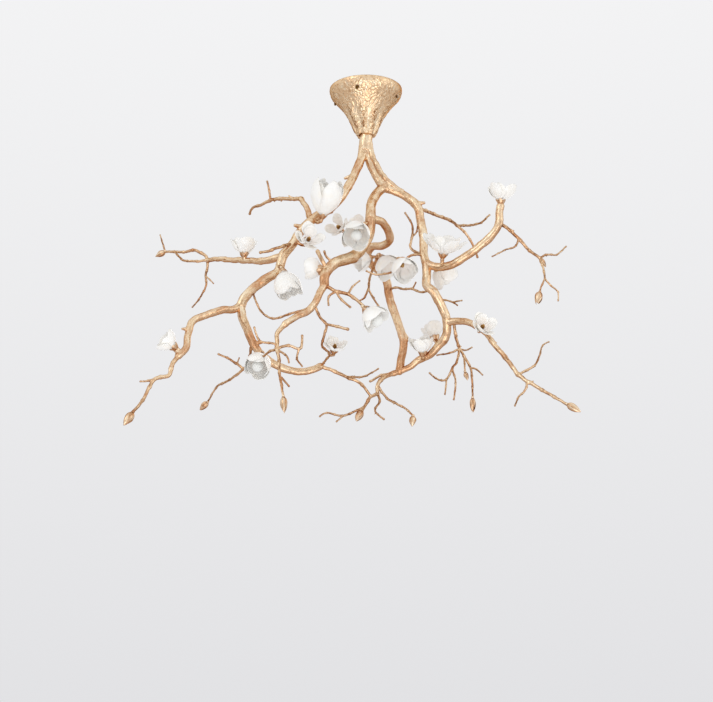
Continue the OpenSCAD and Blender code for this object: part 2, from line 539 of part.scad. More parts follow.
// Brass pistil: a screw whose head is a cone of stamens, small in a small flower
module pistil(size) {
    translate([0, 0, -stud_down]) cylinder(r = stud_r, h = floor_t + stud_down + 0.5, $fn = fine);
    translate([0, 0, floor_t]) rotate_extrude($fn = 24) polygon(size *
        [[0, 0], [4.6, 0], [4.6, 2.5], [5.6, 5], [5.3, 9], [3.8, 13], [1.6, 16], [0, 16.6]]);
}
module flower_pistils() color("#D9B45A") for (i = [1:len(FLOWERS)])
    if (len(search(i, LAMPS)) == 0) at_flower(i) pistil(flower_at(i)[2] > small_flower ? 1 : 0.6);

// Ceramic two-pin holder, screwed down through the porcelain floor
module lamp_holder() {
    translate([0, 0, -stud_down]) cylinder(r = stud_r, h = floor_t + stud_down + 0.5, $fn = fine);
    translate([0, 0, floor_t]) difference() {
        cylinder(r = holder_r, h = holder_h, $fn = 48);
        for (x = lamp_pins) translate([x, 0, holder_h - pin_reach - 2])
            cylinder(r = pin_r + pin_gap, h = pin_reach + 3, $fn = 24);
    }
}
module lamp_holders() color("#E9E6DF") for (i = LAMPS) at_flower(i) lamp_holder();

// Frosted globe lamp with two pins
module lamp(i) color("#E4E6E4") at_flower(LAMPS[i - 1]) translate([0, 0, floor_t + holder_h + 0.3]) {
    rotate_extrude($fn = 48) difference() {
        union() {
            translate([0, neck_h + globe_r - 2]) circle(r = globe_r, $fn = 96);
            translate([0, 0]) square([neck_r, neck_h + 2]);
        }
        translate([-2 * globe_r, -1]) square([2 * globe_r, 4 * globe_r]);
    }
    for (x = lamp_pins) translate([x, 0, -pin_reach]) cylinder(r = pin_r, h = pin_reach + 1, $fn = 24);
}

// Angle of a petal from the flower's axis, at a share u of its length
function lean(open, u) = (52 + 24 * open) * (1 - u) + (-14 + 58 * open) * u;
// Place along the middle of a petal: [distance from the axis, height]
function spine(length, open, start, j) = j == 0 ? [start, floor_t - 1.5] :
    let (a = lean(open, (j - 0.5) / rows))
    spine(length, open, start, j - 1) + length / rows * [sin(a), cos(a)];
// Half the width cut away between two petals, at a share u of their length
function notch_w(u, wide) = wide * pow((u - notch_from) / (1.05 - notch_from), 2.2) + 0.6;

// A ring of petals: a thin turned cup with tapering notches cut down from its rim
module whorl(length, open, petals, start) {
    out = [for (j = [0:rows]) spine(length, open, start, j)];
    in = [for (j = [rows:-1:0]) let (a = lean(open, j / rows))
        out[j] - petal_t * (1.1 - 0.4 * j / rows) * [cos(a), -sin(a)]];
    mid = (out[rows - 2] + out[rows - 1]) / 2;
    mid_u = (rows - 1.5) / rows;
    wide = out[rows].x * sin(180 / petals) * 0.86;
    difference() {
        rotate_extrude($fn = smooth) polygon(concat(out, in));
        for (k = [0:petals - 1]) rotate([0, 0, 360 / petals * (k + 0.5)]) translate([mid.x, 0, mid.y])
            rotate([0, lean(open, mid_u) - 90, 0]) translate([0, 0, -length / 3])
                linear_extrude(0.7 * length) polygon(concat(
                    [for (u = cuts) [(u - mid_u) * length, notch_w(u, wide)]],
                    [for (i = [len(cuts) - 1:-1:0]) let (u = cuts[i])
                        [(u - mid_u) * length, -notch_w(u, wide)]]));
    }
}

// Two whorls of petals on a small drilled floor, fired as one piece
module flower(i) {
    f = flower_at(i);
    outer = ceil(f[4] / 2);
    color(porcelain) at_flower(i) rotate([0, 0, f[5]]) difference() {
        union() {
            cylinder(r = floor_r, h = floor_t, $fn = 48);
            whorl(f[2], f[3], outer, floor_r - 0.6);
            rotate([0, 0, 180 / outer]) whorl(0.9 * f[2], 0.55 * f[3], f[4] - outer, holder_r + 2.2);
        }
        translate([0, 0, -1]) cylinder(r = stud_r + 0.3, h = floor_t + 2, $fn = 24);
    }
}

canopy();
ceiling_bracket();
earth_screw();
terminal_block();
lamp_driver();
for (i = [1:screws]) canopy_screw(i);
threaded_tube();
tube_nuts();
supply_leads();
trunk();
left_stem();
left_ring();
left_arm();
far_left_branch();
left_stem_twigs();
centre_stem();
front_branch();
front_spray();
front_twigs();
centre_down_stem();
right_stem();
right_up_branch();
right_back_spray();
right_out_branch();
right_hanging_spray();
link_twigs();
foot_spray();
cast_buds();
flower_calyxes();
flower_pistils();
lamp_holders();
for (i = [1:len(LAMPS)]) lamp(i);
for (i = [1:len(FLOWERS)]) flower(i);
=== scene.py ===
import math
from functools import partial

import bpy
import numpy as np
from mathutils import Matrix, Vector


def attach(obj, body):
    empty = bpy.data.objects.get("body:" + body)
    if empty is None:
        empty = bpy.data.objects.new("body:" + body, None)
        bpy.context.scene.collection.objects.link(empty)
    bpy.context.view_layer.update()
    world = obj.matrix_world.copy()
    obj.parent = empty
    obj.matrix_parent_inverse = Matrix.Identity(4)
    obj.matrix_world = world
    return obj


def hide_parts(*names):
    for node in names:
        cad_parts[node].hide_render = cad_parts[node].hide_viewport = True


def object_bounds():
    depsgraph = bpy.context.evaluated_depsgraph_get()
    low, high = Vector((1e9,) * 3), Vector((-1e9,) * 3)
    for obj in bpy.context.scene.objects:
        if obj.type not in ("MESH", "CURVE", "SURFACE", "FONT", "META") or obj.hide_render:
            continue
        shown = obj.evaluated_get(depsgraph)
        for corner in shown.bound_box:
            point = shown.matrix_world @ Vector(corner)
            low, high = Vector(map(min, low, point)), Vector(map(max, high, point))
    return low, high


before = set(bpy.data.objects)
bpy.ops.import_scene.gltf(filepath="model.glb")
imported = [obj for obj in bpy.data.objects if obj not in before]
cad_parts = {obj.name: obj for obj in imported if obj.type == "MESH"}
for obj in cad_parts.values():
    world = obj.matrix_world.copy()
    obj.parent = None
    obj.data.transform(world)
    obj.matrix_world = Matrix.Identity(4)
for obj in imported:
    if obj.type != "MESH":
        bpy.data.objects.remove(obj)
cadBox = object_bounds()
mm = 0.001
scene = bpy.context.scene
scene.view_settings.view_transform = "Standard"

# The camera stands below the bough and looks up at it
camera = {"place": (-0.022, -2.640, -1.190), "pitch": 12, "focalPixels": 1200, "pictureWidth": 713,
          "sensor": 36}
lens = bpy.data.cameras.new("camera")
lens.sensor_width = camera["sensor"]
lens.lens = camera["focalPixels"] / camera["pictureWidth"] * camera["sensor"]
viewer = bpy.data.objects.new("camera", lens)
viewer.location = camera["place"]
viewer.rotation_euler = (math.radians(90 + camera["pitch"]), 0, 0)
scene.collection.objects.link(viewer)
scene.camera = viewer


def hexColour(text):
    values = [int(text[i:i + 2], 16) / 255 for i in (1, 3, 5)]
    return tuple(v / 12.92 if v <= 0.04045 else ((v + 0.055) / 1.055) ** 2.4 for v in values) + (1,)


# A node by its kind without the family in front, such as "Math". A source is a value, a node (its first
# output) or a (node, output) pair.
def addNode(tree, kind, sources=None, operation=None, **settings):
    families = ("GeometryNode", "FunctionNode", "ShaderNode", "Node")
    node = tree.nodes.new(next(family + kind for family in families if hasattr(bpy.types, family + kind)))
    if operation:
        settings["operation"] = operation
    for name, value in settings.items():
        setattr(node, name, value)
    for socket, source in (sources or {}).items():
        if isinstance(source, bpy.types.Node):
            source = (source, 0)
        if isinstance(source, tuple) and isinstance(source[0], bpy.types.Node):
            tree.links.new(source[0].outputs[source[1]], node.inputs[socket])
        else:
            node.inputs[socket].default_value = source
    return node


def newMaterial(name, **shine):
    material = bpy.data.materials.new(name)
    material.use_nodes = True
    shader = material.node_tree.nodes["Principled BSDF"]
    for socket, value in shine.items():
        shader.inputs[socket.replace("_", " ")].default_value = value
    return material, material.node_tree, partial(addNode, material.node_tree)


def linkShader(tree, **sources):
    for socket, (node, output) in sources.items():
        tree.links.new(node.outputs[output], tree.nodes["Principled BSDF"].inputs[socket.replace("_", " ")])


# A geometry tree with inputs named by their kind, such as Float="lump ridge"; the function that adds nodes
# to it; and its input node
def newTree(name, **inputs):
    tree = bpy.data.node_groups.new(name, "GeometryNodeTree")
    tree.interface.new_socket(name="Geometry", in_out="INPUT", socket_type="NodeSocketGeometry")
    for kind, labels in inputs.items():
        for label in labels.split():
            tree.interface.new_socket(name=label, in_out="INPUT", socket_type="NodeSocket" + kind)
    tree.interface.new_socket(name="Geometry", in_out="OUTPUT", socket_type="NodeSocketGeometry")
    return tree, partial(addNode, tree), addNode(tree, "GroupInput")


# The end of a tree: one mesh with its relief stored, smooth, in its material
def endTree(add, given, geometry, relief):
    whole = add("RealizeInstances", {0: geometry})
    kept = add("StoreNamedAttribute", {"Geometry": whole, "Name": "relief", "Value": relief})
    smooth = add("SetShadeSmooth", {"Geometry": kept})
    painted = add("SetMaterial", {0: smooth, "Material": (given, "material")})
    add("GroupOutput", {0: painted})


# Gives a piece a tree, with the values whose names are the tree's inputs
def useTree(piece, tree, values):
    modifier = piece.modifiers.new(tree.name, "NODES")
    modifier.node_group = tree
    for item in tree.interface.items_tree:
        if item.in_out == "INPUT" and item.name in values:
            modifier[item.identifier] = values[item.name]


def newPiece(name, verts, faces=(), edges=()):
    mesh = bpy.data.meshes.new(name)
    mesh.from_pydata([tuple(v) for v in verts], list(edges), list(faces))
    piece = bpy.data.objects.new(name, mesh)
    scene.collection.objects.link(piece)
    return piece


# The result of a piece's modifiers as a plain mesh, under a new name
def frozen(piece, name, place=Matrix.Identity(4)):
    graph = bpy.context.evaluated_depsgraph_get()
    mesh = bpy.data.meshes.new_from_object(piece.evaluated_get(graph), preserve_all_data_layers=True,
                                           depsgraph=graph)
    bpy.data.objects.remove(piece)
    mesh.transform(place)
    mesh.name = name
    used = [material for material in mesh.materials if material]
    mesh.materials.clear()
    for material in used:
        mesh.materials.append(material)
    mesh.polygons.foreach_set("material_index", [0] * len(mesh.polygons))
    result = bpy.data.objects.new(name, mesh)
    scene.collection.objects.link(result)
    return result


def joined(name, pieces):
    bpy.ops.object.select_all(action="DESELECT")
    for piece in pieces:
        piece.select_set(True)
    bpy.context.view_layer.objects.active = pieces[0]
    bpy.ops.object.join()
    whole = bpy.context.view_layer.objects.active
    whole.name = whole.data.name = name
    whole.select_set(False)
    return whole


def smoothFaces(piece):
    piece.data.polygons.foreach_set("use_smooth", [True] * len(piece.data.polygons))
    return piece


def dress(piece, body, slot, *nodes):
    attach(piece, body)
    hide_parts(*nodes)


# The matrix that stands +Z along a way at a point in millimetres, as the part does
def facing(point, way, turn=0):
    x, y, z = Vector(way).normalized()
    swing = Matrix.Rotation(math.atan2(y, x), 4, "Z") @ Matrix.Rotation(math.acos(z), 4, "Y")
    return Matrix.Translation(Vector(point) * mm) @ swing @ Matrix.Rotation(math.radians(turn), 4, "Z")


# A turned shape from (radius, height) pairs in millimetres, closed at the axis or round its own outline
def lathe(name, profile, sides, closed=False):
    verts, rings, faces = [], [], []
    for radius, height in profile:
        if radius < 1e-6:
            rings.append([len(verts)] * sides)
            verts.append((0, 0, height * mm))
        else:
            rings.append([len(verts) + k for k in range(sides)])
            verts += [(radius * mm * math.cos(math.tau * k / sides),
                       radius * mm * math.sin(math.tau * k / sides), height * mm) for k in range(sides)]
    for low, high in zip(rings, rings[1:] + rings[:1] if closed else rings[1:]):
        for k in range(sides):
            corners = [low[k], low[(k + 1) % sides], high[(k + 1) % sides], high[k]]
            faces.append(list(dict.fromkeys(corners)))
    return newPiece(name, verts, faces)


# Lost-wax cast brass, chemically patinated, rubbed back and lacquered: pale gold where it is rubbed, copper
# brown in the grooves and in broad patches, with a soft uneven shine. Faces that point down get painted
# shade: their colour is multiplied towards copper brown, more strongly the further they face down
def antiqueBrass(name, look):
    material, tree, add = newMaterial(name, Metallic=1, Roughness=look["roughness"],
                                      Specular_Tint=hexColour(look["edge"]))
    coordinates = add("TexCoord")
    place = (coordinates, "Object")
    facingUp = add("SeparateXYZ", {0: (coordinates, "Normal")})
    # Painted shade: the further a face points down, the more its colour is multiplied towards copper brown
    paintedUndersideShade = add("MapRange", {0: (facingUp, 2), 1: look["paintedShadeFrom"], 2: -0.95, 3: 0, 4: look["paintedShadeShare"]})
    relief = (add("Attribute", attribute_name="relief"), "Fac")
    patches = add("TexNoise", {"Vector": place, "Scale": 1 / (look["patch"] * mm), "Detail": 4,
                               "Roughness": 0.6})
    grit = add("TexNoise", {"Vector": place, "Scale": 1 / (look["grit"] * mm), "Detail": 3})
    depth = add("MapRange", {0: relief, 1: look["groove"], 2: look["crest"]})
    mixed = add("Math", {0: grit, 1: 0.4, 2: depth}, "MULTIPLY_ADD")
    tone = add("Math", {0: mixed, 1: 0.2}, "SUBTRACT")
    ramp = add("ValToRGB", {0: tone})
    ramp.color_ramp.elements[0].color = hexColour(look["dark"])
    ramp.color_ramp.elements[1].color = hexColour(look["bright"])
    ramp.color_ramp.elements.new(0.42).color = hexColour(look["middle"])
    warm = add("MapRange", {0: patches, 1: 0.48, 2: 0.62, 4: look["patchShare"]})
    # The stronger of the broad patina patches and the painted shade on faces that point down
    patinaAndPaintedShade = add("Math", {0: warm, 1: paintedUndersideShade}, "MAXIMUM")
    colour = add("Mix", {0: patinaAndPaintedShade, 6: ramp, 7: hexColour(look["copper"])}, data_type="RGBA",
                 blend_type="MULTIPLY")
    rough = add("MapRange", {0: grit, 1: 0.3, 2: 0.7, 3: look["roughness"] - 0.07,
                             4: look["roughness"] + 0.12})
    bump = add("Bump", {"Strength": look["bump"], "Distance": 0.4 * mm, "Height": grit})
    linkShader(tree, Base_Color=(colour, 2), Roughness=(rough, 0), Normal=(bump, 0))
    return material


# Glazed hard-paste porcelain: white body, glossy clear glaze, a breath of cream and pink in the cup
def glazedPorcelain(look):
    material, tree, add = newMaterial("glazedPorcelain", Roughness=look["roughness"], IOR=1.5)
    petal = add("Attribute", attribute_name="petal")
    parts = add("SeparateXYZ", {0: (petal, "Vector")})
    place = (add("TexCoord"), "Object")
    pool = add("TexNoise", {"Vector": place, "Scale": 1 / (look["pool"] * mm), "Detail": 2})
    base = add("MapRange", {0: (parts, 0), 1: 0.05, 2: 0.75, 3: 1, 4: 0})
    share = add("Math", {0: base, 1: pool}, "MULTIPLY")
    inner = add("Math", {0: share, 1: (parts, 2)}, "MULTIPLY")
    blush = add("Mix", {0: inner, 6: hexColour(look["white"]), 7: hexColour(look["blush"])},
                data_type="RGBA")
    ivory = add("MapRange", {0: pool, 1: 0.45, 2: 0.75, 4: 0.6})
    colour = add("Mix", {0: ivory, 6: (blush, 2), 7: hexColour(look["ivory"])}, data_type="RGBA")
    ripple = add("TexNoise", {"Vector": place, "Scale": 1 / (look["ripple"] * mm), "Detail": 2})
    bump = add("Bump", {"Strength": 0.18, "Distance": 0.5 * mm, "Height": ripple})
    linkShader(tree, Base_Color=(colour, 2), Normal=(bump, 0))
    return material


# A moulded, fired or plated surface of one colour: faint clouds in colour and shine, and a fine grain
def plainSurface(name, look):
    material, tree, add = newMaterial(name, Metallic=look.get("metallic", 0), Roughness=look["roughness"])
    place = (add("TexCoord"), "Object")
    cloud = add("TexNoise", {"Vector": place, "Scale": 1 / (look["cloud"] * mm), "Detail": 3})
    grain = add("TexNoise", {"Vector": place, "Scale": 1 / (look["grain"] * mm), "Detail": 2})
    colour = add("Mix", {0: cloud, 6: hexColour(look["colour"]), 7: hexColour(look["shade"])},
                 data_type="RGBA")
    rough = add("MapRange", {0: cloud, 3: look["roughness"] - 0.06, 4: look["roughness"] + 0.08})
    bump = add("Bump", {"Strength": look["bump"], "Distance": 0.2 * mm, "Height": grain})
    linkShader(tree, Base_Color=(colour, 2), Roughness=(rough, 0), Normal=(bump, 0))
    return material


# Each look also sets how strongly faces that point down are painted darker as shade
branchLook = {"bright": "#FFEED0", "middle": "#ECCCA4", "dark": "#966A48", "copper": "#CE9870",
              "edge": "#B08460", "patch": 60, "patchShare": 0.7, "grit": 2.2, "groove": 0.12, "crest": 0.74,
              "paintedShadeFrom": 0.05, "paintedShadeShare": 0.75, "roughness": 0.28, "bump": 0.2}
bellLook = {**branchLook, "bright": "#FFF0D2", "middle": "#F8D8AE", "dark": "#9A6A42", "patchShare": 0.35,
            "paintedShadeShare": 0.3, "grit": 3}
budLook = {**branchLook, "middle": "#D2A67A", "dark": "#7C5030", "grit": 1.4, "patchShare": 0.5}
giltLook = {**branchLook, "bright": "#E8C88A", "middle": "#B98A4A", "dark": "#5E3E1E", "patchShare": 0.2,
            "grit": 0.8}
brass = antiqueBrass("antiqueCastBrass", branchLook)
bellBrass = antiqueBrass("antiqueEmbossedBrass", bellLook)
budBrass = antiqueBrass("rubbedCastBrass", budLook)
gilt = antiqueBrass("gildedBrass", giltLook)
porcelain = glazedPorcelain({"white": "#FDFCF9", "ivory": "#FCF6EA", "blush": "#FAEAE0", "pool": 18,
                             "ripple": 7, "roughness": 0.3})
print("materials made")

# A pale floor far below, soft light from the room and four large panels
studio = {"floorDrop": 2.9, "floorSize": 40, "roomLight": 0.84, "skyLow": "#D9D9DC", "skyHigh": "#F4F4F5"}
world = bpy.data.worlds.new("room")
scene.world = world
world.use_nodes = True
sky = world.node_tree
add = partial(addNode, sky)
light = add("Background", {"Color": (1, 1, 1, 1), "Strength": studio["roomLight"]})
height = add("SeparateXYZ", {0: (add("TexCoord"), "Generated")})
rise = add("MapRange", {0: (height, 2), 1: -0.35, 2: 0.5})
tint = add("Mix", {0: rise, 6: hexColour(studio["skyLow"]), 7: hexColour(studio["skyHigh"])},
           data_type="RGBA")
seen = add("Background", {"Color": (tint, 2), "Strength": 1})
ray = add("LightPath")
shown = add("Math", {0: (ray, "Is Camera Ray"), 1: (ray, "Is Glossy Ray")}, "ADD")
shownToo = add("Math", {0: shown, 1: (ray, "Is Transmission Ray")}, "ADD", use_clamp=True)
both = add("MixShader", {0: shownToo, 1: light, 2: seen})
sky.links.new(both.outputs[0], sky.nodes["World Output"].inputs[0])

level = cadBox[0].z - studio["floorDrop"]
half = studio["floorSize"] / 2
corners = [(-half, -half, level), (half, -half, level), (half, half, level), (-half, half, level)]
floor = newPiece("floor", corners, [(0, 1, 2, 3)])
floor.data.materials.append(plainSurface("palePaintedFloor", {
    "colour": "#E9E9EB", "shade": "#E4E4E7", "roughness": 0.8, "cloud": 900, "grain": 40, "bump": 0.05}))

# Each panel is (place, height it aims at, width and height, watts), in metres
panels = {
    "keyPanel": ((-2.4, -2.4, 1.1), -0.4, (1.1, 1.6), 9),
    "fillPanel": ((2.8, -1.6, -0.2), -0.45, (0.9, 2.4), 7),
    "lowPanel": ((0.1, -2.2, -2.1), -0.45, (2.4, 1.8), 20),
    "backPanel": ((0.6, 3.0, 0.6), -0.4, (2.4, 1.6), 14)}
for name, (place, aim, size, power) in panels.items():
    panel = bpy.data.lights.new(name, "AREA")
    panel.shape = "RECTANGLE"
    panel.size, panel.size_y = size
    panel.energy = power
    holder = bpy.data.objects.new(name, panel)
    holder.location = place
    holder.rotation_euler = (Vector((0, 0, aim)) - Vector(place)).to_track_quat("-Z", "Y").to_euler()
    scene.collection.objects.link(holder)
print("studio made")

# The bough: shoots grown along their centre lines, fused, and cast with bark. A shoot is, in millimetres as
# in the part, (first radius, last radius, points on its centre line).
shoots = {
    "trunk": [
        (15.2, 14, [(0, 0, -104), (0, 0, -112), (0, 0, -120), (-1, 0, -136), (-2, 0, -152)]),
        (10.5, 9, [(-4, 0, -118), (-6, -1, -140), (-10, -3, -165), (-20, -11, -198), (-36, -29, -240),
            (-56, -43, -280), (-80, -50, -310)]),
        (10.5, 10.5, [(1, 0, -118), (2, 1, -140), (7, 3, -166), (18, 5, -198), (32, 5, -226),
            (50, 5, -243)]),
        (6.5, 6, [(8, -5, -112), (9, -5, -135), (14, -6, -162), (28, -5, -196), (46, -2, -222),
            (68, 4, -240), (84, 8, -250)])],
    "left_stem": [
        (10, 10.5, [(-80, -50, -310), (-110, -60, -330), (-145, -65, -365), (-165, -70, -400),
            (-185, -80, -430), (-195, -80, -465), (-220, -90, -485), (-245, -95, -505),
            (-265, -100, -530), (-275, -100, -550)]),
        (5.5, 3.8, [(-195, -81, -456), (-191, -91, -458), (-188, -96, -461)])],
    "left_ring": [
        (9.5, 7.5, [(-275, -100, -550), (-270, -100, -575), (-260, -100, -600), (-250, -95, -625),
            (-230, -90, -655), (-210, -85, -670), (-180, -80, -685), (-150, -70, -690),
            (-120, -65, -685), (-100, -60, -675)]),
        (3.5, 3, [(-250, -95, -625), (-255, -60, -645), (-265, -25, -660), (-275, 0, -670)]),
        (3.2, 2.2, [(-275, 0, -670), (-310, 30, -690), (-340, 55, -700), (-365, 90, -730)]),
        (3.2, 2.4, [(-275, 0, -670), (-305, -10, -650), (-330, -20, -640)]),
        (2.2, 1.8, [(-290, -5, -660), (-285, 0, -645)]),
        (5, 3.8, [(-232, -91, -654), (-228, -95, -652), (-225, -99, -654)])],
    "left_arm": [
        (8.5, 7, [(-275, -100, -550), (-290, -110, -560), (-310, -125, -565), (-330, -140, -575),
            (-355, -160, -590), (-370, -175, -605), (-375, -190, -635), (-375, -205, -665),
            (-390, -215, -685)]),
        (5, 3, [(-390, -215, -685), (-400, -225, -705), (-405, -235, -730), (-430, -250, -740),
            (-440, -260, -760), (-450, -275, -790), (-465, -290, -815)]),
        (3, 2, [(-430, -250, -740), (-440, -260, -745), (-455, -275, -750)]),
        (6, 6, [(-386, -212, -681), (-390, -213, -677), (-395, -214, -671)])],
    "far_left_branch": [
        (9, 5, [(-185, -80, -430), (-210, -70, -435), (-235, -55, -435), (-270, -25, -425),
            (-305, 5, -415), (-340, 30, -405), (-370, 55, -400)]),
        (4, 3, [(-370, 55, -400), (-380, 60, -385), (-405, 75, -370), (-430, 90, -370),
            (-455, 105, -365), (-480, 120, -360)]),
        (3.2, 2.5, [(-370, 55, -400), (-395, 50, -405), (-425, 60, -400), (-440, 80, -385),
            (-455, 105, -365)]),
        (2.6, 1.8, [(-480, 120, -360), (-485, 120, -345), (-495, 130, -315)]),
        (3.5, 2, [(-370, 55, -400), (-370, 60, -415), (-375, 70, -435), (-375, 80, -455),
            (-390, 95, -480), (-410, 110, -500)]),
        (2.2, 1.8, [(-375, 70, -435), (-355, 60, -455)]),
        (3.5, 4, [(-275, -23, -425), (-276, -25, -422), (-276, -26, -418)])],
    "left_stem_twigs": [
        (7.5, 5.5, [(-125, -62, -342), (-135, -40, -305), (-150, -15, -275)]),
        (5, 2.8, [(-150, -15, -275), (-175, 10, -265), (-205, 40, -255), (-225, 65, -250),
            (-250, 85, -255), (-270, 105, -255), (-280, 120, -265)]),
        (3, 2.4, [(-225, 65, -250), (-230, 70, -225), (-235, 75, -200)]),
        (4, 3, [(-165, -70, -400), (-180, -95, -410), (-210, -120, -430), (-230, -140, -440)]),
        (3.6, 3.4, [(-160, -69, -390), (-147, -74, -402), (-135, -79, -405)]),
        (5, 3.6, [(-118, -62, -342), (-109, -72, -350), (-102, -80, -350)])],
    "centre_stem": [
        (10.5, 11.5, [(40, 5, -240), (30, 0, -250), (15, -20, -280), (10, -40, -310), (10, -50, -335)]),
        (11.5, 12, [(10, -50, -335), (6, -52, -370), (-8, -66, -405), (-28, -96, -437)]),
        (9, 9, [(10, -50, -335), (35, -30, -335), (50, 0, -345), (55, 25, -360), (40, 55, -365),
            (15, 80, -360), (5, 95, -375), (10, 100, -395), (45, 90, -425)]),
        (4.5, 3, [(14, -24, -285), (4, 5, -312), (-8, 32, -336), (-17, 48, -342), (-36, 59, -337),
            (-54, 62, -328)]),
        (5, 3.6, [(9, -50, -342), (-4, -68, -352), (-17, -90, -359), (-22, -100, -360)])],
    "front_branch": [
        (13, 9.5, [(-28, -96, -437), (-48, -128, -453), (-70, -155, -470), (-85, -170, -490),
            (-90, -180, -510), (-90, -180, -525)]),
        (8, 6.5, [(-90, -180, -525), (-100, -190, -545), (-110, -200, -570), (-125, -210, -590),
            (-145, -215, -600), (-170, -225, -620)]),
        (5.5, 4, [(-170, -225, -620), (-185, -230, -640), (-185, -235, -660), (-185, -235, -675)]),
        (5, 4, [(-85, -170, -490), (-95, -180, -470), (-105, -180, -450)]),
        (3, 2.5, [(-70, -160, -470), (-85, -170, -460), (-90, -180, -450)])],
    "front_spray": [
        (3.6, 2.4, [(-185, -235, -675), (-180, -240, -700), (-180, -240, -720), (-175, -240, -750),
            (-170, -245, -775)]),
        (2.6, 2, [(-175, -240, -735), (-160, -225, -750)]),
        (3.2, 2.4, [(-185, -235, -675), (-165, -225, -665), (-140, -215, -670), (-135, -210, -655),
            (-135, -205, -640)]),
        (2.6, 1.8, [(-140, -215, -670), (-145, -210, -690), (-135, -205, -705)]),
        (3, 2.4, [(-185, -235, -675), (-200, -215, -675), (-215, -190, -680)]),
        (3, 2, [(-185, -235, -675), (-190, -240, -665), (-220, -250, -660), (-230, -260, -635)]),
        (2.6, 1.8, [(-185, -235, -675), (-165, -240, -690), (-160, -245, -705)])],
    "front_twigs": [
        (4, 3, [(-90, -180, -525), (-65, -190, -540), (-40, -200, -550), (-25, -205, -560),
            (-10, -210, -575), (-5, -215, -583)]),
        (2.6, 1.8, [(-40, -200, -550), (-30, -190, -530), (-15, -180, -515)]),
        (2.8, 2, [(-65, -190, -540), (-80, -200, -555), (-80, -210, -575)]),
        (2.8, 2.4, [(-65, -190, -540), (-55, -200, -560), (-35, -210, -580)]),
        (3, 2.4, [(-110, -200, -570), (-100, -190, -595), (-85, -180, -610), (-90, -165, -630),
            (-95, -150, -650), (-80, -120, -660), (-90, -90, -670), (-100, -60, -675)]),
        (2.8, 3, [(-85, -180, -610), (-70, -190, -615), (-40, -200, -625)]),
        (3.2, 3.2, [(-82, -122, -660), (-77, -115, -663), (-73, -112, -660)]),
        (2.8, 2.2, [(-110, -200, -570), (-130, -190, -580), (-165, -170, -585), (-200, -150, -590),
            (-230, -125, -565), (-250, -95, -515)])],
    "centre_down_stem": [
        (9.5, 9, [(45, 90, -425), (50, 85, -450), (55, 80, -485), (65, 70, -520), (75, 55, -555),
            (85, 45, -590), (85, 40, -615), (80, 35, -640), (75, 30, -670)]),
        (5, 3.6, [(75, 55, -555), (85, 50, -575), (98, 40, -594), (111, 31, -600)])],
    "right_stem": [
        (10, 9.5, [(40, 5, -240), (65, 8, -246), (95, 10, -262), (120, 0, -290), (125, -5, -325),
            (130, -15, -360), (130, -25, -390), (130, -35, -415), (135, -45, -440)]),
        (10, 9.5, [(135, -45, -440), (135, -50, -465), (135, -50, -490), (150, -50, -505),
            (165, -40, -530), (175, -35, -550), (180, -30, -570), (180, -20, -590), (175, -10, -605)]),
        (9.5, 6, [(175, -10, -605), (160, 0, -620), (145, 10, -635), (120, 20, -645), (100, 25, -660),
            (75, 30, -670), (60, 30, -675)]),
        (4.5, 3.6, [(121, 19, -646), (127, 12, -646), (128, 7, -643)]),
        (4.5, 3.4, [(133, -42, -430), (142, -36, -431), (153, -27, -435)]),
        (3.4, 3, [(160, 0, -620), (164, 22, -606), (160, 42, -594)])],
    "right_up_branch": [
        (9, 8.5, [(135, -45, -440), (165, -60, -450), (190, -80, -450), (220, -95, -435),
            (245, -110, -420), (275, -120, -395), (290, -130, -370), (291, -130, -345),
            (294, -129, -329)]),
        (4, 3.2, [(290, -130, -370), (310, -120, -380), (335, -110, -400), (355, -100, -420),
            (385, -80, -435)]),
        (2.8, 2, [(385, -80, -435), (400, -70, -425), (415, -55, -420), (430, -40, -415),
            (455, -20, -390)]),
        (2.8, 2.4, [(385, -80, -435), (390, -95, -465), (390, -105, -490)]),
        (2.4, 2, [(390, -105, -490), (380, -120, -510), (375, -125, -525)]),
        (2.4, 1.8, [(390, -105, -490), (405, -100, -505), (420, -90, -515), (420, -90, -535)]),
        (2.6, 1.8, [(335, -110, -400), (325, -120, -420), (300, -140, -435), (270, -160, -455)]),
        (4, 4, [(168, -62, -450), (169, -70, -436)])],
    "right_back_spray": [
        (4.2, 3.4, [(120, 0, -290), (135, 20, -290), (160, 50, -290), (200, 95, -290), (220, 120, -295)]),
        (3.2, 2.2, [(220, 120, -295), (250, 150, -285), (280, 180, -270), (295, 200, -255),
            (310, 220, -235)]),
        (3.2, 2.6, [(220, 120, -295), (240, 130, -310), (255, 140, -330), (265, 145, -350),
            (270, 150, -365)])],
    "right_out_branch": [
        (8.5, 7, [(180, -30, -570), (195, -40, -570), (220, -60, -575), (240, -80, -590)]),
        (6, 4.5, [(240, -80, -590), (260, -90, -610), (280, -110, -645), (300, -125, -675),
            (320, -145, -710)]),
        (4.5, 3, [(320, -145, -710), (335, -155, -725), (360, -170, -745), (385, -190, -765),
            (410, -210, -785)]),
        (3, 1.8, [(320, -145, -710), (340, -140, -700), (360, -130, -685), (370, -120, -665),
            (380, -110, -640), (395, -100, -630)]),
        (3, 2, [(335, -155, -725), (335, -165, -740), (325, -170, -755), (315, -180, -765),
            (305, -190, -785)])],
    "right_hanging_spray": [
        (3.6, 3, [(195, -40, -570), (200, -20, -600), (210, -5, -625), (220, 5, -640)]),
        (3, 2.2, [(220, 5, -640), (235, 15, -665), (240, 25, -700), (240, 30, -730)]),
        (2.6, 1.8, [(210, -5, -625), (185, -30, -640), (155, -55, -650)]),
        (2.8, 2, [(210, -5, -625), (200, -25, -660), (190, -35, -675), (195, -45, -700),
            (195, -50, -720), (190, -60, -750)]),
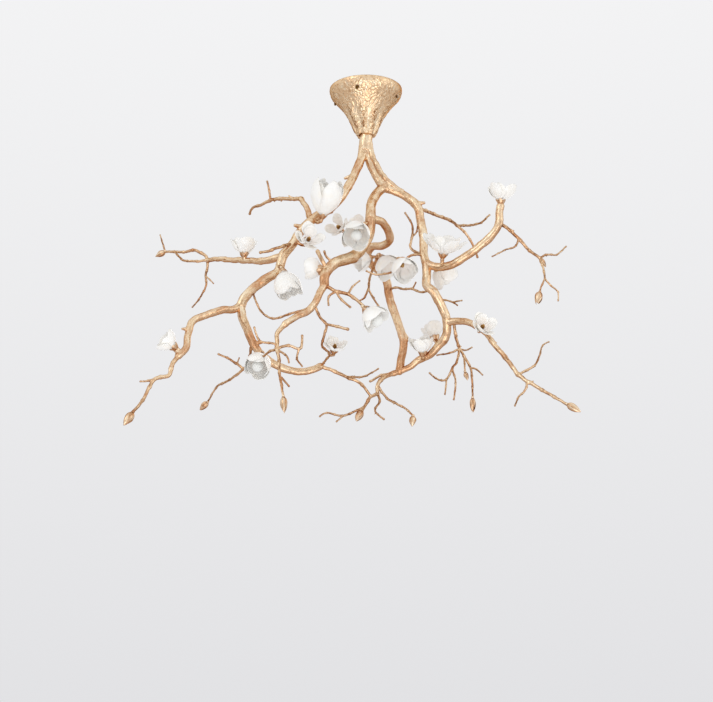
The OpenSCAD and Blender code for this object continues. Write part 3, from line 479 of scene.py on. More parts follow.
        (2.6, 2, [(190, -35, -675), (175, -60, -705), (155, -85, -710), (135, -105, -700)]),
        (2.2, 1.8, [(175, -60, -705), (170, -70, -740)]),
        (2.4, 2, [(220, 5, -640), (220, -10, -665), (220, -15, -680)]),
        (2.4, 1.8, [(235, 15, -665), (250, 30, -665), (265, 45, -675)]),
        (2, 1.8, [(210, -5, -625), (225, 10, -625), (240, 25, -615)])],
    "link_twigs": [
        (2.8, 2.4, [(54, 80, -465), (70, 60, -465), (85, 35, -475), (105, 0, -485), (125, -30, -500),
            (142, -50, -500)]),
        (2.2, 1.8, [(105, 0, -485), (112, -20, -475)]),
        (3.2, 2.6, [(22, 97, -404), (20, 80, -408), (14, 60, -425), (8, 35, -455), (5, 0, -485)]),
        (2.6, 2, [(5, 0, -485), (-5, -15, -510), (-20, -25, -520)]),
        (2.6, 2, [(5, 0, -485), (20, 10, -510), (40, 20, -535)]),
        (4, 3.4, [(20, 80, -408), (24, 66, -399), (25, 53, -393)]),
        (3.4, 3.2, [(25, 54, -393), (21, 47, -395), (17, 44, -396)]),
        (3.4, 3.2, [(25, 54, -393), (28, 46, -390), (31, 41, -391)]),
        (3.2, 2.2, [(130, -35, -415), (110, -30, -405), (100, -25, -390), (105, -15, -365),
            (105, -10, -335), (90, -5, -305)]),
        (2.2, 1.8, [(105, -15, -365), (115, -15, -355), (117, -32, -345)]),
        (3, 2, [(130, -35, -415), (100, -50, -420), (80, -70, -445), (55, -90, -470), (25, -105, -480),
            (0, -115, -475)]),
        (3.4, 3.2, [(90, -60, -433), (79, -72, -433), (70, -80, -437)]),
        (2.6, 1.8, [(165, -40, -530), (175, 20, -505), (200, 60, -500), (215, 90, -500)]),
        (2, 1.8, [(200, 60, -500), (225, 85, -490)])],
    "foot_spray": [
        (5.5, 4, [(60, 30, -675), (40, 20, -685), (25, 10, -705), (25, 5, -725)]),
        (3.6, 2.6, [(60, 30, -675), (35, 50, -675), (10, 70, -685)]),
        (4, 3.2, [(25, 5, -725), (10, -10, -735), (0, -15, -750), (-10, -30, -770)]),
        (3, 2.2, [(25, 5, -725), (30, 20, -740), (20, 35, -760), (40, 55, -775)]),
        (3, 2.2, [(25, 10, -705), (45, -20, -740), (65, -40, -755), (85, -60, -770), (100, -85, -790)]),
        (2.8, 1.8, [(-5, -22, -760), (-50, -60, -785), (-85, -95, -785), (-100, -110, -795)]),
        (2, 1.8, [(-50, -60, -785), (-65, -70, -800)]),
        (4, 3, [(-100, -60, -675), (-70, -50, -685), (-45, -40, -695), (-20, -35, -705),
            (-5, -20, -715), (10, -10, -735)]),
        (2.8, 1.8, [(-45, -40, -695), (-20, -60, -700), (0, -80, -700), (25, -105, -690)])],
}
bough = {"ringStep": 1.6 * mm, "sides": 20, "jointGap": 9, "jointSwell": 0.3, "spurChance": 0.32,
         "wander": 1.2, "thickVoxel": 1.15 * mm, "twigVoxel": 0.85 * mm, "thickFrom": 5.5, "blur": 3,
         "lump": 0.038, "flute": 0.055, "ridge": 0.00022, "firstSeed": 11}

grow, add, given = newTree("growShoots", Float="ringStep jointGap jointSwell spurChance wander",
                           Int="sides seed")
line = add("MeshToCurve", {0: given})
smoothLine = add("CurveSplineType", {0: line}, spline_type="CATMULL_ROM")
thick = add("InputNamedAttribute", {"Name": "thick"})
# Twigs have a joint every nine radii or so, at even steps along each shoot
shootThick = add("FieldOnDomain", {0: thick}, domain="CURVE")
gap = add("Math", {0: shootThick, 1: (given, "jointGap")}, "MULTIPLY")
ratio = add("Math", {0: add("SplineLength"), 1: gap}, "DIVIDE")
steps = add("Math", {0: ratio}, "ROUND")
joints = add("Math", {0: steps, 1: 1.0}, "MAXIMUM")
even = add("ResampleCurve", {"Curve": smoothLine, "Length": (given, "ringStep")}, mode="LENGTH")
# The stems wander a little off their line, as grown ones do
drift = add("TexNoise", {"Vector": add("InputPosition"), "Scale": 48.0, "Detail": 1.0})
offLine = add("VectorMath", {0: (drift, "Color"), 1: (0.5, 0.5, 0.5)}, "SUBTRACT")
slender = add("MapRange", {0: thick, 1: 0.003, 2: 0.008, 3: 1.0, 4: 0.25})
byThick = add("Math", {0: thick, 1: (given, "wander")}, "MULTIPLY")
bySlender = add("Math", {0: byThick, 1: slender}, "MULTIPLY")
wander = add("VectorMath", {0: offLine, "Scale": bySlender}, "SCALE")
wandering = add("SetPosition", {"Geometry": even, "Offset": wander})
along = add("SplineParameter")
phase = add("Math", {0: (along, "Factor"), 1: joints, 2: 0.5}, "MULTIPLY_ADD")
nearJoint = add("Math", {0: phase}, "FRACT")
offJoint = add("Math", {0: nearJoint, 1: 0.5}, "SUBTRACT")
away = add("Math", {0: offJoint}, "ABSOLUTE")
swellBy = add("Math", {0: slender, 1: (given, "jointSwell")}, "MULTIPLY")
swell = add("MapRange", {0: away, 1: 0.0, 2: 0.15, 3: swellBy, 4: 0.0}, interpolation_type="SMOOTHSTEP")
grown = add("Math", {0: thick, 1: swell, 2: thick}, "MULTIPLY_ADD")
shootNumber = add("FieldOnDomain", {0: add("InputIndex")}, data_type="INT", domain="CURVE")
distance = add("Math", {0: shootNumber, 1: 0.117, 2: (along, "Length")}, "MULTIPLY_ADD")
measured = add("StoreNamedAttribute", {"Geometry": wandering, "Name": "along", "Value": distance})
hoop = add("CurvePrimitiveCircle", {"Resolution": (given, "sides"), "Radius": 1.0})
marked = add("StoreNamedAttribute", {"Geometry": hoop, "Name": "ring", "Value": add("InputPosition")},
             data_type="FLOAT_VECTOR")
tubes = add("CurveToMesh", {"Curve": measured, "Profile Curve": marked, "Scale": grown, "Fill Caps": True})
# The bark's own coordinates: round the stem and along it, in millimetres
ringPlace = add("InputNamedAttribute", {"Name": "ring"}, data_type="FLOAT_VECTOR")
alongPlace = add("InputNamedAttribute", {"Name": "along"})
roundStem = add("VectorMath", {0: ringPlace, "Scale": thick}, "SCALE")
up = add("CombineXYZ", {2: alongPlace})
meters = add("VectorMath", {0: roundStem, 1: up}, "ADD")
grain = add("VectorMath", {0: meters, "Scale": 1000.0}, "SCALE")
barked = add("StoreNamedAttribute", {"Geometry": tubes, "Name": "grain", "Value": grain},
             data_type="FLOAT_VECTOR")
# Short spurs where a leaf or side bud has been, at the joints
spacing = add("Math", {0: joints, 1: 1.0}, "ADD")
nodes = add("ResampleCurve", {"Curve": smoothLine, "Count": spacing}, mode="COUNT")
ends = add("CurveEndpointSelection", {0: 1, 1: 1})
inside = add("BooleanMath", {0: ends}, "NOT")
luck = add("RandomValue", {"Probability": (given, "spurChance"), "Seed": (given, "seed")},
           data_type="BOOLEAN")
picked = add("BooleanMath", {0: inside, 1: (luck, 3)}, "AND")
spur = add("MeshCone", {"Vertices": 10, "Radius Top": 0.34, "Radius Bottom": 0.7, "Depth": 2.5})
turned = add("AlignRotationToVector", {"Vector": add("InputTangent")}, axis="Z")
spin = add("RandomValue", {0: (0.75, 0, 0), 1: (1.05, 0, 6.28), "Seed": (given, "seed")},
           data_type="FLOAT_VECTOR")
lean = add("EulerToRotation", {0: spin})
tilted = add("RotateRotation", {0: turned, 1: lean}, rotation_space="LOCAL")
spurs = add("InstanceOnPoints", {"Points": nodes, "Selection": picked, "Instance": spur, "Rotation": tilted,
                                 "Scale": thick})
# A twig ends in a blunt knob
tip = add("CurveEndpointSelection", {0: 0, 1: 1})
knob = add("MeshUVSphere", {"Segments": 12, "Rings": 8, "Radius": 1.0})
knobSize = add("MapRange", {0: slender, 3: 0.85, 4: 1.3})
knobBy = add("Math", {0: thick, 1: knobSize}, "MULTIPLY")
knobs = add("InstanceOnPoints", {"Points": wandering, "Selection": tip, "Instance": knob, "Scale": knobBy})
everything = add("JoinGeometry")
for part in (add("RealizeInstances", {0: knobs}), barked, add("RealizeInstances", {0: spurs})):
    grow.links.new(part.outputs[0], everything.inputs[0])
add("GroupOutput", {0: everything})

cast, add, given = newTree("castBark", Object="tubes", Float="lump flute ridge", Int="blur",
                           Material="material")
tubeShape = add("ObjectInfo", {0: (given, "tubes")})
barkPlace = add("InputNamedAttribute", {"Name": "grain"}, data_type="FLOAT_VECTOR")
barkThick = add("InputNamedAttribute", {"Name": "thick"})
position = add("InputPosition")
softPlace = add("BlurAttribute", {0: position, "Iterations": (given, "blur")}, data_type="FLOAT_VECTOR")
soft = add("SetPosition", {"Geometry": given, "Position": softPlace})
here = add("SampleNearestSurface", {"Mesh": (tubeShape, "Geometry"), "Value": barkPlace},
           data_type="FLOAT_VECTOR")
stem = add("SampleNearestSurface", {"Mesh": (tubeShape, "Geometry"), "Value": barkThick})
longGrain = add("VectorMath", {0: here, 1: (0.16, 0.16, 0.032)}, "MULTIPLY")
flutes = add("TexNoise", {"Vector": longGrain, "Scale": 1.0, "Detail": 2.0})
fineGrain = add("VectorMath", {0: here, 1: (0.5, 0.5, 0.16)}, "MULTIPLY")
ridges = add("TexNoise", {"Vector": fineGrain, "Scale": 1.0, "Detail": 3.0, "Distortion": 0.6})
lumps = add("TexNoise", {"Vector": position, "Scale": 42.0, "Detail": 1.0})
fluteUp = add("MapRange", {0: flutes, 1: 0.25, 2: 0.75, 3: -1.0, 4: 1.0})
ridgeUp = add("MapRange", {0: ridges, 1: 0.3, 2: 0.7, 3: -1.0, 4: 1.0})
lumpUp = add("MapRange", {0: lumps, 1: 0.25, 2: 0.75, 3: -1.0, 4: 1.0})
fluteBy = add("Math", {0: fluteUp, 1: (given, "flute")}, "MULTIPLY")
shape = add("Math", {0: lumpUp, 1: (given, "lump"), 2: fluteBy}, "MULTIPLY_ADD")
sized = add("Math", {0: shape, 1: stem}, "MULTIPLY")
raised = add("Math", {0: ridgeUp, 1: (given, "ridge"), 2: sized}, "MULTIPLY_ADD")
push = add("VectorMath", {0: add("InputNormal"), "Scale": raised}, "SCALE")
moved = add("SetPosition", {"Geometry": soft, "Offset": push})
mixture = add("Math", {0: fluteUp, 1: 0.24, 2: 0.5}, "MULTIPLY_ADD")
height = add("Math", {0: ridgeUp, 1: 0.2, 2: mixture}, "MULTIPLY_ADD")
# Thin twigs are rubbed less, and stay browner
duller = add("MapRange", {0: stem, 1: 0.002, 2: 0.007, 3: -0.2, 4: 0.0})
endTree(add, given, moved, add("Math", {0: height, 1: duller}, "ADD"))


# One polyline per shoot, with its radius at each point
def centreLines(name, shootList):
    verts, edges, radii = [], [], []
    for first, last, points in shootList:
        start, end = len(verts), len(points) - 1
        verts += [Vector(p) * mm for p in points]
        edges += [(start + i, start + i + 1) for i in range(end)]
        radii += [(first + (last - first) * i / end) * mm for i in range(end + 1)]
    piece = newPiece(name, verts, edges=edges)
    piece.data.attributes.new("thick", "FLOAT", "POINT").data.foreach_set("value", radii)
    return piece


for number, (name, shootList) in enumerate(shoots.items()):
    thickest = max(max(first, last) for first, last, points in shootList)
    lines = centreLines(name + "Lines", shootList)
    useTree(lines, grow, {**bough, "seed": bough["firstSeed"] + number})
    bare = frozen(lines, name + "Tubes")
    fused = bpy.data.objects.new(name + "Fused", bare.data.copy())
    scene.collection.objects.link(fused)
    voxels = fused.modifiers.new("fuse", "REMESH")
    voxels.mode = "VOXEL"
    voxels.voxel_size = bough["thickVoxel"] if thickest > bough["thickFrom"] else bough["twigVoxel"]
    useTree(fused, cast, {**bough, "tubes": bare, "material": brass})
    dress(frozen(fused, name + "_cast"), "fixture", "cast_branch", name)
    bpy.data.objects.remove(bare)
print("bough made")

# The canopy: a bell turned from its outline, embossed, and recessed for its screws. A height is below the
# ceiling.
bell = {"outside": [(85, 0), (85, -8), (80, -20), (66, -36), (52, -54), (40, -72), (31.5, -90), (26.5, -104),
                    (23.5, -112), (21.5, -116)],
        "wall": 5, "floor": -104, "socket": 16.5, "socketSteps": (-115, -111, -107, -104), "bore": 5.3,
        "hollow": 12, "rim": 84.5, "step": 1.25, "sides": 380, "flutes": 9, "fluteDepth": 0.0024,
        "curlSize": 16, "curl": 0.0012, "lip": 0.0028, "screws": 4, "screwTurn": -106, "screwHeight": -26,
        "seat": 74.5, "recess": 5.2}


# Points at even steps along a smooth curve through (radius, height) pairs
def smoothOutline(points, step):
    line = [Vector((p[0], p[1])) for p in points]
    line = [2 * line[0] - line[1]] + line + [2 * line[-1] - line[-2]]
    path = []
    for a, b, c, d in zip(line, line[1:], line[2:], line[3:]):
        for i in range(24):
            t = i / 24
            path.append((2 * b + (c - a) * t + (2 * a - 5 * b + 4 * c - d) * t ** 2
                         + (3 * b - a - 3 * c + d) * t ** 3) / 2)
    path.append(line[-2])
    steps = [0.0]
    for a, b in zip(path, path[1:]):
        steps.append(steps[-1] + (b - a).length)
    stops = np.linspace(0, steps[-1], max(2, round(steps[-1] / step)) + 1)
    return list(zip(np.interp(stops, steps, [p.x for p in path]),
                    np.interp(stops, steps, [p.y for p in path])))


emboss, add, given = newTree("embossBell", Float="fluteDepth curlSize curl lip", Int="flutes",
                             Material="material")
face = add("InputNamedAttribute", {"Name": "outer"})
place = add("InputPosition")
parts = add("SeparateXYZ", {0: place})
bearing = add("Math", {0: (parts, 1), 1: (parts, 0)}, "ARCTAN2")
# Root-like flutes that wander a little, deepest near the foot of the bell and gone at its rim
sway = add("TexNoise", {"Vector": place, "Scale": 22.0, "Detail": 2.0})
wander = add("MapRange", {0: sway, 3: -1.6, 4: 1.6})
turns = add("Math", {0: bearing, 1: (given, "flutes"), 2: wander}, "MULTIPLY_ADD")
wave = add("Math", {0: turns}, "COSINE")
low = add("MapRange", {0: (parts, 2), 1: -0.034, 2: -0.085}, interpolation_type="SMOOTHSTEP")
near = add("MapRange", {0: (parts, 2), 1: -0.116, 2: -0.098, 3: 0.25, 4: 1.0})
fluteShare = add("Math", {0: low, 1: near}, "MULTIPLY")
fluteAmount = add("Math", {0: wave, 1: fluteShare}, "MULTIPLY")
# Curly raised lines, where a strongly bent noise crosses its middle
squeeze = add("VectorMath", {0: place, 1: (1.0, 1.0, 0.62)}, "MULTIPLY")
perMetre = add("Math", {0: 1000.0, 1: (given, "curlSize")}, "DIVIDE")
curls = add("TexNoise", {"Vector": squeeze, "Scale": perMetre, "Detail": 1.0, "Distortion": 2.2})
fromMiddle = add("Math", {0: curls, 1: 0.5}, "SUBTRACT")
distance = add("Math", {0: fromMiddle}, "ABSOLUTE")
line = add("MapRange", {0: distance, 1: 0.0, 2: 0.075, 3: 1.0, 4: 0.0}, interpolation_type="SMOOTHSTEP")
belowRim = add("MapRange", {0: (parts, 2), 1: -0.004, 2: -0.010})
lineUp = add("Math", {0: line, 1: belowRim}, "MULTIPLY")
pits = add("TexNoise", {"Vector": place, "Scale": 170.0, "Detail": 1.0})
pitUp = add("MapRange", {0: pits, 1: 0.3, 2: 0.7, 3: -0.2, 4: 0.2})
curlRise = add("Math", {0: lineUp, 1: pitUp}, "ADD")
curlBy = add("Math", {0: curlRise, 1: (given, "curl")}, "MULTIPLY")
rise = add("Math", {0: fluteAmount, 1: (given, "fluteDepth"), 2: curlBy}, "MULTIPLY_ADD")
onFace = add("Math", {0: rise, 1: face}, "MULTIPLY")
push = add("VectorMath", {0: add("InputNormal"), "Scale": onFace}, "SCALE")
# The lip's edge isn't cut level
lipNoise = add("TexNoise", {"Vector": place, "Scale": 60.0, "Detail": 1.0})
lipWave = add("MapRange", {0: lipNoise, 1: 0.25, 2: 0.75, 3: -0.4, 4: 1.0})
atLip = add("MapRange", {0: (parts, 2), 1: -0.1035, 2: -0.116}, interpolation_type="SMOOTHSTEP")
lipBy = add("Math", {0: lipWave, 1: atLip}, "MULTIPLY")
lipUp = add("Math", {0: lipBy, 1: (given, "lip")}, "MULTIPLY")
both = add("VectorMath", {0: push, 1: add("CombineXYZ", {2: lipUp})}, "ADD")
moved = add("SetPosition", {"Geometry": given, "Offset": both})
fluteTone = add("Math", {0: fluteAmount, 1: 0.22, 2: 0.36}, "MULTIPLY_ADD")
endTree(add, given, moved, add("Math", {0: curlRise, 1: 0.42, 2: fluteTone}, "MULTIPLY_ADD"))

outside = smoothOutline(bell["outside"], bell["step"])
inside = [(r - bell["wall"] - 0.5, h) for r, h in smoothOutline(bell["outside"][:7], 4)][::-1]
floorTop = bell["floor"] + bell["wall"]
rest = ([(bell["socket"] + 1.5, bell["outside"][-1][1])] + [(bell["socket"], h) for h in bell["socketSteps"]]
        + [(bell["bore"], bell["floor"]), (bell["bore"], floorTop), (bell["hollow"], floorTop)]
        + inside[:-1] + [(bell["rim"] - bell["wall"], 0)])
turned = lathe("bellTurned", outside + rest, bell["sides"], closed=True)
onOutside = [float(0 < k // bell["sides"] < len(outside)) for k in range(len(turned.data.vertices))]
turned.data.attributes.new("outer", "FLOAT", "POINT").data.foreach_set("value", onOutside)
useTree(turned, emboss, {**bell, "material": bellBrass})
canopy = frozen(turned, "bell_canopy")
for k in range(bell["screws"]):
    bearing = math.radians(bell["screwTurn"] + 360 / bell["screws"] * k)
    axis = Vector((math.cos(bearing), math.sin(bearing), 0))
    for vertex in canopy.data.vertices:
        reach = vertex.co.dot(axis)
        aside = vertex.co - axis * reach - Vector((0, 0, bell["screwHeight"] * mm))
        if reach > bell["seat"] * mm and aside.length < bell["recess"] * mm:
            vertex.co += axis * (bell["seat"] * mm - reach)
dress(canopy, "fixture", "cast_canopy", "canopy")
print("canopy made")

# Petals, sepals and bud scales: thin closed shells, ringed and ruffled by one tree
petalRing, add, given = newTree("petalRing", Object="core outerPetal innerPetal",
                                Int="outerCount innerCount seed",
                                Float="tilt sizeChange ruffle ruffleSize", Material="material")
ruffled = add("JoinGeometry")
for step, side in enumerate(("outer", "inner")):
    shape = add("ObjectInfo", {0: (given, side + "Petal")})
    number = add("InputIndex")
    share = add("Math", {0: math.tau, 1: (given, side + "Count")}, "DIVIDE")
    half = add("Math", {0: math.pi, 1: (given, "outerCount")}, "DIVIDE")
    start = add("Math", {0: half, 1: float(step)}, "MULTIPLY")
    place = add("Math", {0: number, 1: share, 2: start}, "MULTIPLY_ADD")
    luck = add("RandomValue", {0: (-1, -1, -1), 1: (1, 1, 1), "ID": number, "Seed": (given, "seed")},
               data_type="FLOAT_VECTOR")
    jitter = add("VectorMath", {0: luck, "Scale": (given, "tilt")}, "SCALE")
    aim = add("EulerToRotation", {0: add("CombineXYZ", {2: place})})
    tilt = add("EulerToRotation", {0: jitter})
    rotation = add("RotateRotation", {0: aim, 1: tilt}, rotation_space="LOCAL")
    chance = add("RandomValue", {2: -1.0, 3: 1.0, "ID": number, "Seed": (given, "seed")})
    size = add("Math", {0: (chance, 1), 1: (given, "sizeChange"), 2: 1.0}, "MULTIPLY_ADD")
    spots = add("Points", {"Count": (given, side + "Count")})
    ring = add("InstanceOnPoints", {"Points": spots, "Instance": (shape, "Geometry"), "Rotation": rotation,
                                    "Scale": size})
    single = add("RealizeInstances", {0: ring})
    perMetre = add("Math", {0: 1000.0, 1: (given, "ruffleSize")}, "DIVIDE")
    spot = add("InputPosition")
    seedShift = add("VectorMath", {0: spot, 1: (given, "seed")}, "ADD")
    noise = add("TexNoise", {"Vector": seedShift, "Scale": perMetre, "Detail": 1.5})
    bent = add("VectorMath", {0: (noise, 1), 1: (0.5, 0.5, 0.5)}, "SUBTRACT")
    onPetal = add("InputNamedAttribute", {"Name": "petal"}, data_type="FLOAT_VECTOR")
    height = add("SeparateXYZ", {0: onPetal})
    weight = add("Math", {0: height, 1: (given, "ruffle")}, "MULTIPLY")
    shift = add("VectorMath", {0: bent, "Scale": weight}, "SCALE")
    waved = add("SetPosition", {"Geometry": single, "Offset": shift})
    petalRing.links.new(waved.outputs[0], ruffled.inputs[0])
core = add("ObjectInfo", {0: (given, "core")})
petalRing.links.new(core.outputs["Geometry"], ruffled.inputs[0])
# Cast scales and sepals are rubbed along their middles and dark where they tuck in
across = add("InputNamedAttribute", {"Name": "petal"}, data_type="FLOAT_VECTOR")
acrossParts = add("SeparateXYZ", {0: across})
endTree(add, given, ruffled, add("MapRange", {0: (acrossParts, 1), 3: 0.72, 4: 0.36}))


# A shell along a spine of (distance from the axis, height) pairs, wrapped round the axis. Its attribute
# "petal" holds the share of its length, of its half width, and 1 on its inner face.
def petalShell(name, spine, look, **more):
    look = {**look, **more}
    rows, columns = len(spine), look["columns"]
    stops = np.linspace(0, 1, rows)
    rise = np.gradient(spine, axis=0)
    verts, marks = [], []
    for side in (0, 1):
        for i in range(rows):
            for v in np.linspace(-1, 1, columns):
                u = stops[i] * (1 - look["round"] * abs(v) ** 2.6 + look["point"] * (1 - abs(v)) ** 3)
                r, h = np.interp(u, stops, spine[:, 0]), np.interp(u, stops, spine[:, 1])
                if u > 1:
                    r, h = spine[-1] + (spine[-1] - spine[-2]) * (u - 1) * (rows - 1)
                slope = np.array([np.interp(u, stops, rise[:, 0]), np.interp(u, stops, rise[:, 1])])
                slope /= np.linalg.norm(slope)
                widening = math.sin(min(1, u / 0.55) * math.pi / 2)
                angle = look["spread"] * (look["foot"] + (1 - look["foot"]) * widening) * v
                bow = look["cup"] * (1 - v * v) * math.sin(math.pi * min(u, 1)) * look["length"]
                lap = look["lap"] * v * min(1, 2 * u)
                thick = look["thick"] * (1 - 0.45 * u) * (1 - 0.5 * abs(v) ** 6) * (1 - 0.5 * stops[i] ** 8)
                inward = (thick if side else 0) - bow - lap
                r, h = r - inward * slope[1], h + inward * slope[0]
                verts.append((r * math.cos(angle) * mm, r * math.sin(angle) * mm, h * mm))
                marks.append((min(u, 1), abs(v), side))
    faces = []
    for side in (0, 1):
        for i in range(rows - 1):
            for j in range(columns - 1):
                a = side * rows * columns + i * columns + j
                quad = [a, a + 1, a + columns + 1, a + columns]
                faces.append(quad if side == 0 else quad[::-1])
    edge = ([(0, j) for j in range(columns - 1)] + [(i, columns - 1) for i in range(rows - 1)]
            + [(rows - 1, j) for j in range(columns - 1, 0, -1)] + [(i, 0) for i in range(rows - 1, 0, -1)])
    for (i, j), (k, l) in zip(edge, edge[1:] + edge[:1]):
        a, b = i * columns + j, k * columns + l
        faces.append([b, a, a + rows * columns, b + rows * columns])
    piece = newPiece(name, verts, faces)
    piece.data.attributes.new("petal", "FLOAT_VECTOR", "POINT").data.foreach_set("vector", np.ravel(marks))
    return piece


# Two rings of petals, sepals or scales round a core, as one mesh at its place
def ringed(name, core, outerPetal, innerPetal, place, values):
    holder = newPiece(name + "Holder", [])
    useTree(holder, petalRing, {**values, "core": core, "outerPetal": outerPetal, "innerPetal": innerPetal})
    result = frozen(holder, name, place)
    for piece in (core, outerPetal, innerPetal):
        bpy.data.objects.remove(piece)
    return result


# The part's rule for the middle line of a petal, with a curl added at the tip
def petalSpine(length, opening, start, curl):
    rows = 20
    r, h = start, 2.5
    spine = [(r, h)]
    for j in range(rows):
        u = (j + 0.5) / rows
        lean = math.radians((52 + 24 * opening) * (1 - u) + (-14 + 58 * opening) * u + curl * u ** 5)
        r, h = r + length / rows * math.sin(lean), h + length / rows * math.cos(lean)
        spine.append((r, h))
    return np.array(spine)


# A flower is (foot, way it faces, petal length, how open it is, petals, turn), as in the part
flowers = [
    ((-98, -86, -338), (0.22, -0.38, 0.9), 86, 0, 7, 0),
    ((-276, -27, -410), (0, -0.15, 1), 40, 0.35, 6, 20),
    ((-399, -219, -666), (-0.75, -0.35, 0.5), 31, 0.3, 6, 10),
    ((-130, -92, -400), (0.3, -0.85, 0.35), 34, 0.8, 7, 0),
    ((-184, -98, -472), (0.3, -0.15, -0.93), 60, 0.05, 6, 30),
    ((-98, -160, -484), (-0.8, 0.5, 0.25), 34, 0.2, 6, 0),
    ((-60, 50, -325), (-0.5, -0.8, 0.2), 30, 0.6, 7, 10),
    ((-20, 52, -328), (-0.2, 0.2, 0.95), 30, 0.3, 6, 40),
    ((-22, -108, -370), (0, -0.6, -0.75), 56, 0.2, 7, 15),
    ((8, 40, -400), (-0.8, -0.35, -0.35), 38, 0.2, 6, 0),
    ((36, 38, -400), (0.5, -0.3, -0.8), 50, 0.25, 6, 25),
    ((74, -88, -446), (0.3, -0.6, -0.75), 50, 0.12, 6, 5),
    ((170, -76, -426), (0.1, -0.4, 0.85), 54, 0.7, 9, 12),
    ((160, -20, -440), (0.55, 0.5, -0.35), 44, 0.3, 6, 30),
    ((295, -130, -320), (0.1, -0.1, 1), 42, 0.4, 7, 0),
    ((249, -99, -600), (0.3, -0.85, 0.35), 30, 0.6, 7, 20),
    ((-2, -220, -588), (0.62, -0.3, -0.72), 44, 0.25, 6, 10),
    ((127, 4, -632), (-0.1, -0.3, 0.9), 38, 0.25, 7, 0),
    ((158, 48, -588), (-0.2, 0.3, 0.9), 36, 0.2, 6, 35),
    ((-70, -119, -652), (0.15, -0.6, 0.7), 26, 0.6, 7, 15),
    ((-227, -106, -662), (-0.15, -0.6, -0.7), 54, 0.1, 7, 5),
]
lampFlowers = [1, 5, 9, 17, 21]
bloom = {"floor": [(2.3, 0), (8, 0), (9, 1), (9, 3), (8, 4), (2.3, 4)], "outerStart": 8.4, "innerStart": 7.7,
         "innerLength": 0.9, "innerOpening": 0.55, "curl": 26, "tilt": 0.05, "sizeChange": 0.05,
         "ruffleShare": 0.15, "ruffleSizeShare": 0.36, "material": porcelain}
petalLook = {"columns": 17, "round": 0.42, "point": 0.05, "foot": 0.62, "cup": 0.03, "lap": 1.6,
             "thick": 1.7}

for number, (foot, way, length, opening, petals, turn) in enumerate(flowers, 1):
    outer = math.ceil(petals / 2)
    inner = petals - outer
    # A closed flower's petals close in at the tip, an open one's are narrower and curl out
    curl = min(bloom["curl"], 85 * opening - 14)
    narrow = 1.08 - 0.4 * opening
    outerSpine = petalSpine(length, opening, bloom["outerStart"], curl)
    innerSpine = petalSpine(length * bloom["innerLength"], opening * bloom["innerOpening"],
                            bloom["innerStart"], curl * 0.5)
    outerPetal = petalShell("outerPetal", outerSpine, petalLook, length=length,
                            spread=math.pi / outer * narrow)
    innerPetal = petalShell("innerPetal", innerSpine, petalLook, length=length,
                            spread=math.pi / inner * narrow)
    base = lathe("flowerFloor", bloom["floor"], 40, closed=True)
    values = {**bloom, "outerCount": outer, "innerCount": inner, "seed": number,
              "ruffle": bloom["ruffleShare"] * length * mm, "ruffleSize": bloom["ruffleSizeShare"] * length}
    place = facing(foot, way, turn)
    flower = ringed("porcelain_flower_%d" % number, base, outerPetal, innerPetal, place, values)
    dress(flower, "fixture", "porcelain", "flower_%d" % number)
print("flowers made")

# Calyxes: a cup with six close sepals
calyx = {"profile": [(0, -14), (3.2, -14), (3.7, -12.5), (4.1, -9), (5.4, -6.6), (7, -4.6), (8.2, -2.2),
                     (8.4, -0.6), (7.8, 0), (0, 0)],
         "outerSpine": [(4.3, -8.6), (5.8, -6.6), (7.4, -4.6), (8.7, -2.2), (9.9, 0), (11.3, 1.8)],
         "innerSpine": [(4.2, -7.6), (5.6, -6), (7.2, -4.2), (8.5, -1.8), (9.6, 0.6), (10.6, 3.2)],
         "outerSpread": 0.85, "innerSpread": 0.8, "outerCount": 3, "innerCount": 3, "tilt": 0.05,
         "sizeChange": 0.05, "ruffle": 1.6 * mm, "ruffleSize": 7, "firstSeed": 40, "turnStep": 40,
         "material": budBrass}
sepalLook = {"columns": 13, "round": 0.5, "point": 0.16, "foot": 0.8, "cup": 0.0, "lap": 0.35,
             "thick": 0.9, "length": 14}


def fineSpine(points, rows=12):
    line = smoothOutline(points, 1)
    return np.array(line)[np.round(np.linspace(0, len(line) - 1, rows)).astype(int)]


cups = []
for number, (foot, way, length, opening, petals, turn) in enumerate(flowers, 1):
    cup = lathe("calyxCup", calyx["profile"], 40)
    outerSepal = petalShell("outerSepal", fineSpine(calyx["outerSpine"]), sepalLook,
                            spread=calyx["outerSpread"])
    innerSepal = petalShell("innerSepal", fineSpine(calyx["innerSpine"]), sepalLook,
                            spread=calyx["innerSpread"])
    place = facing(foot, way, turn + calyx["turnStep"] * number)
    values = {**calyx, "seed": calyx["firstSeed"] + number}
    cups.append(ringed("calyx%d" % number, cup, outerSepal, innerSepal, place, values))
dress(joined("brass_calyxes", cups), "fixture", "calyx_brass", "flower_calyxes")

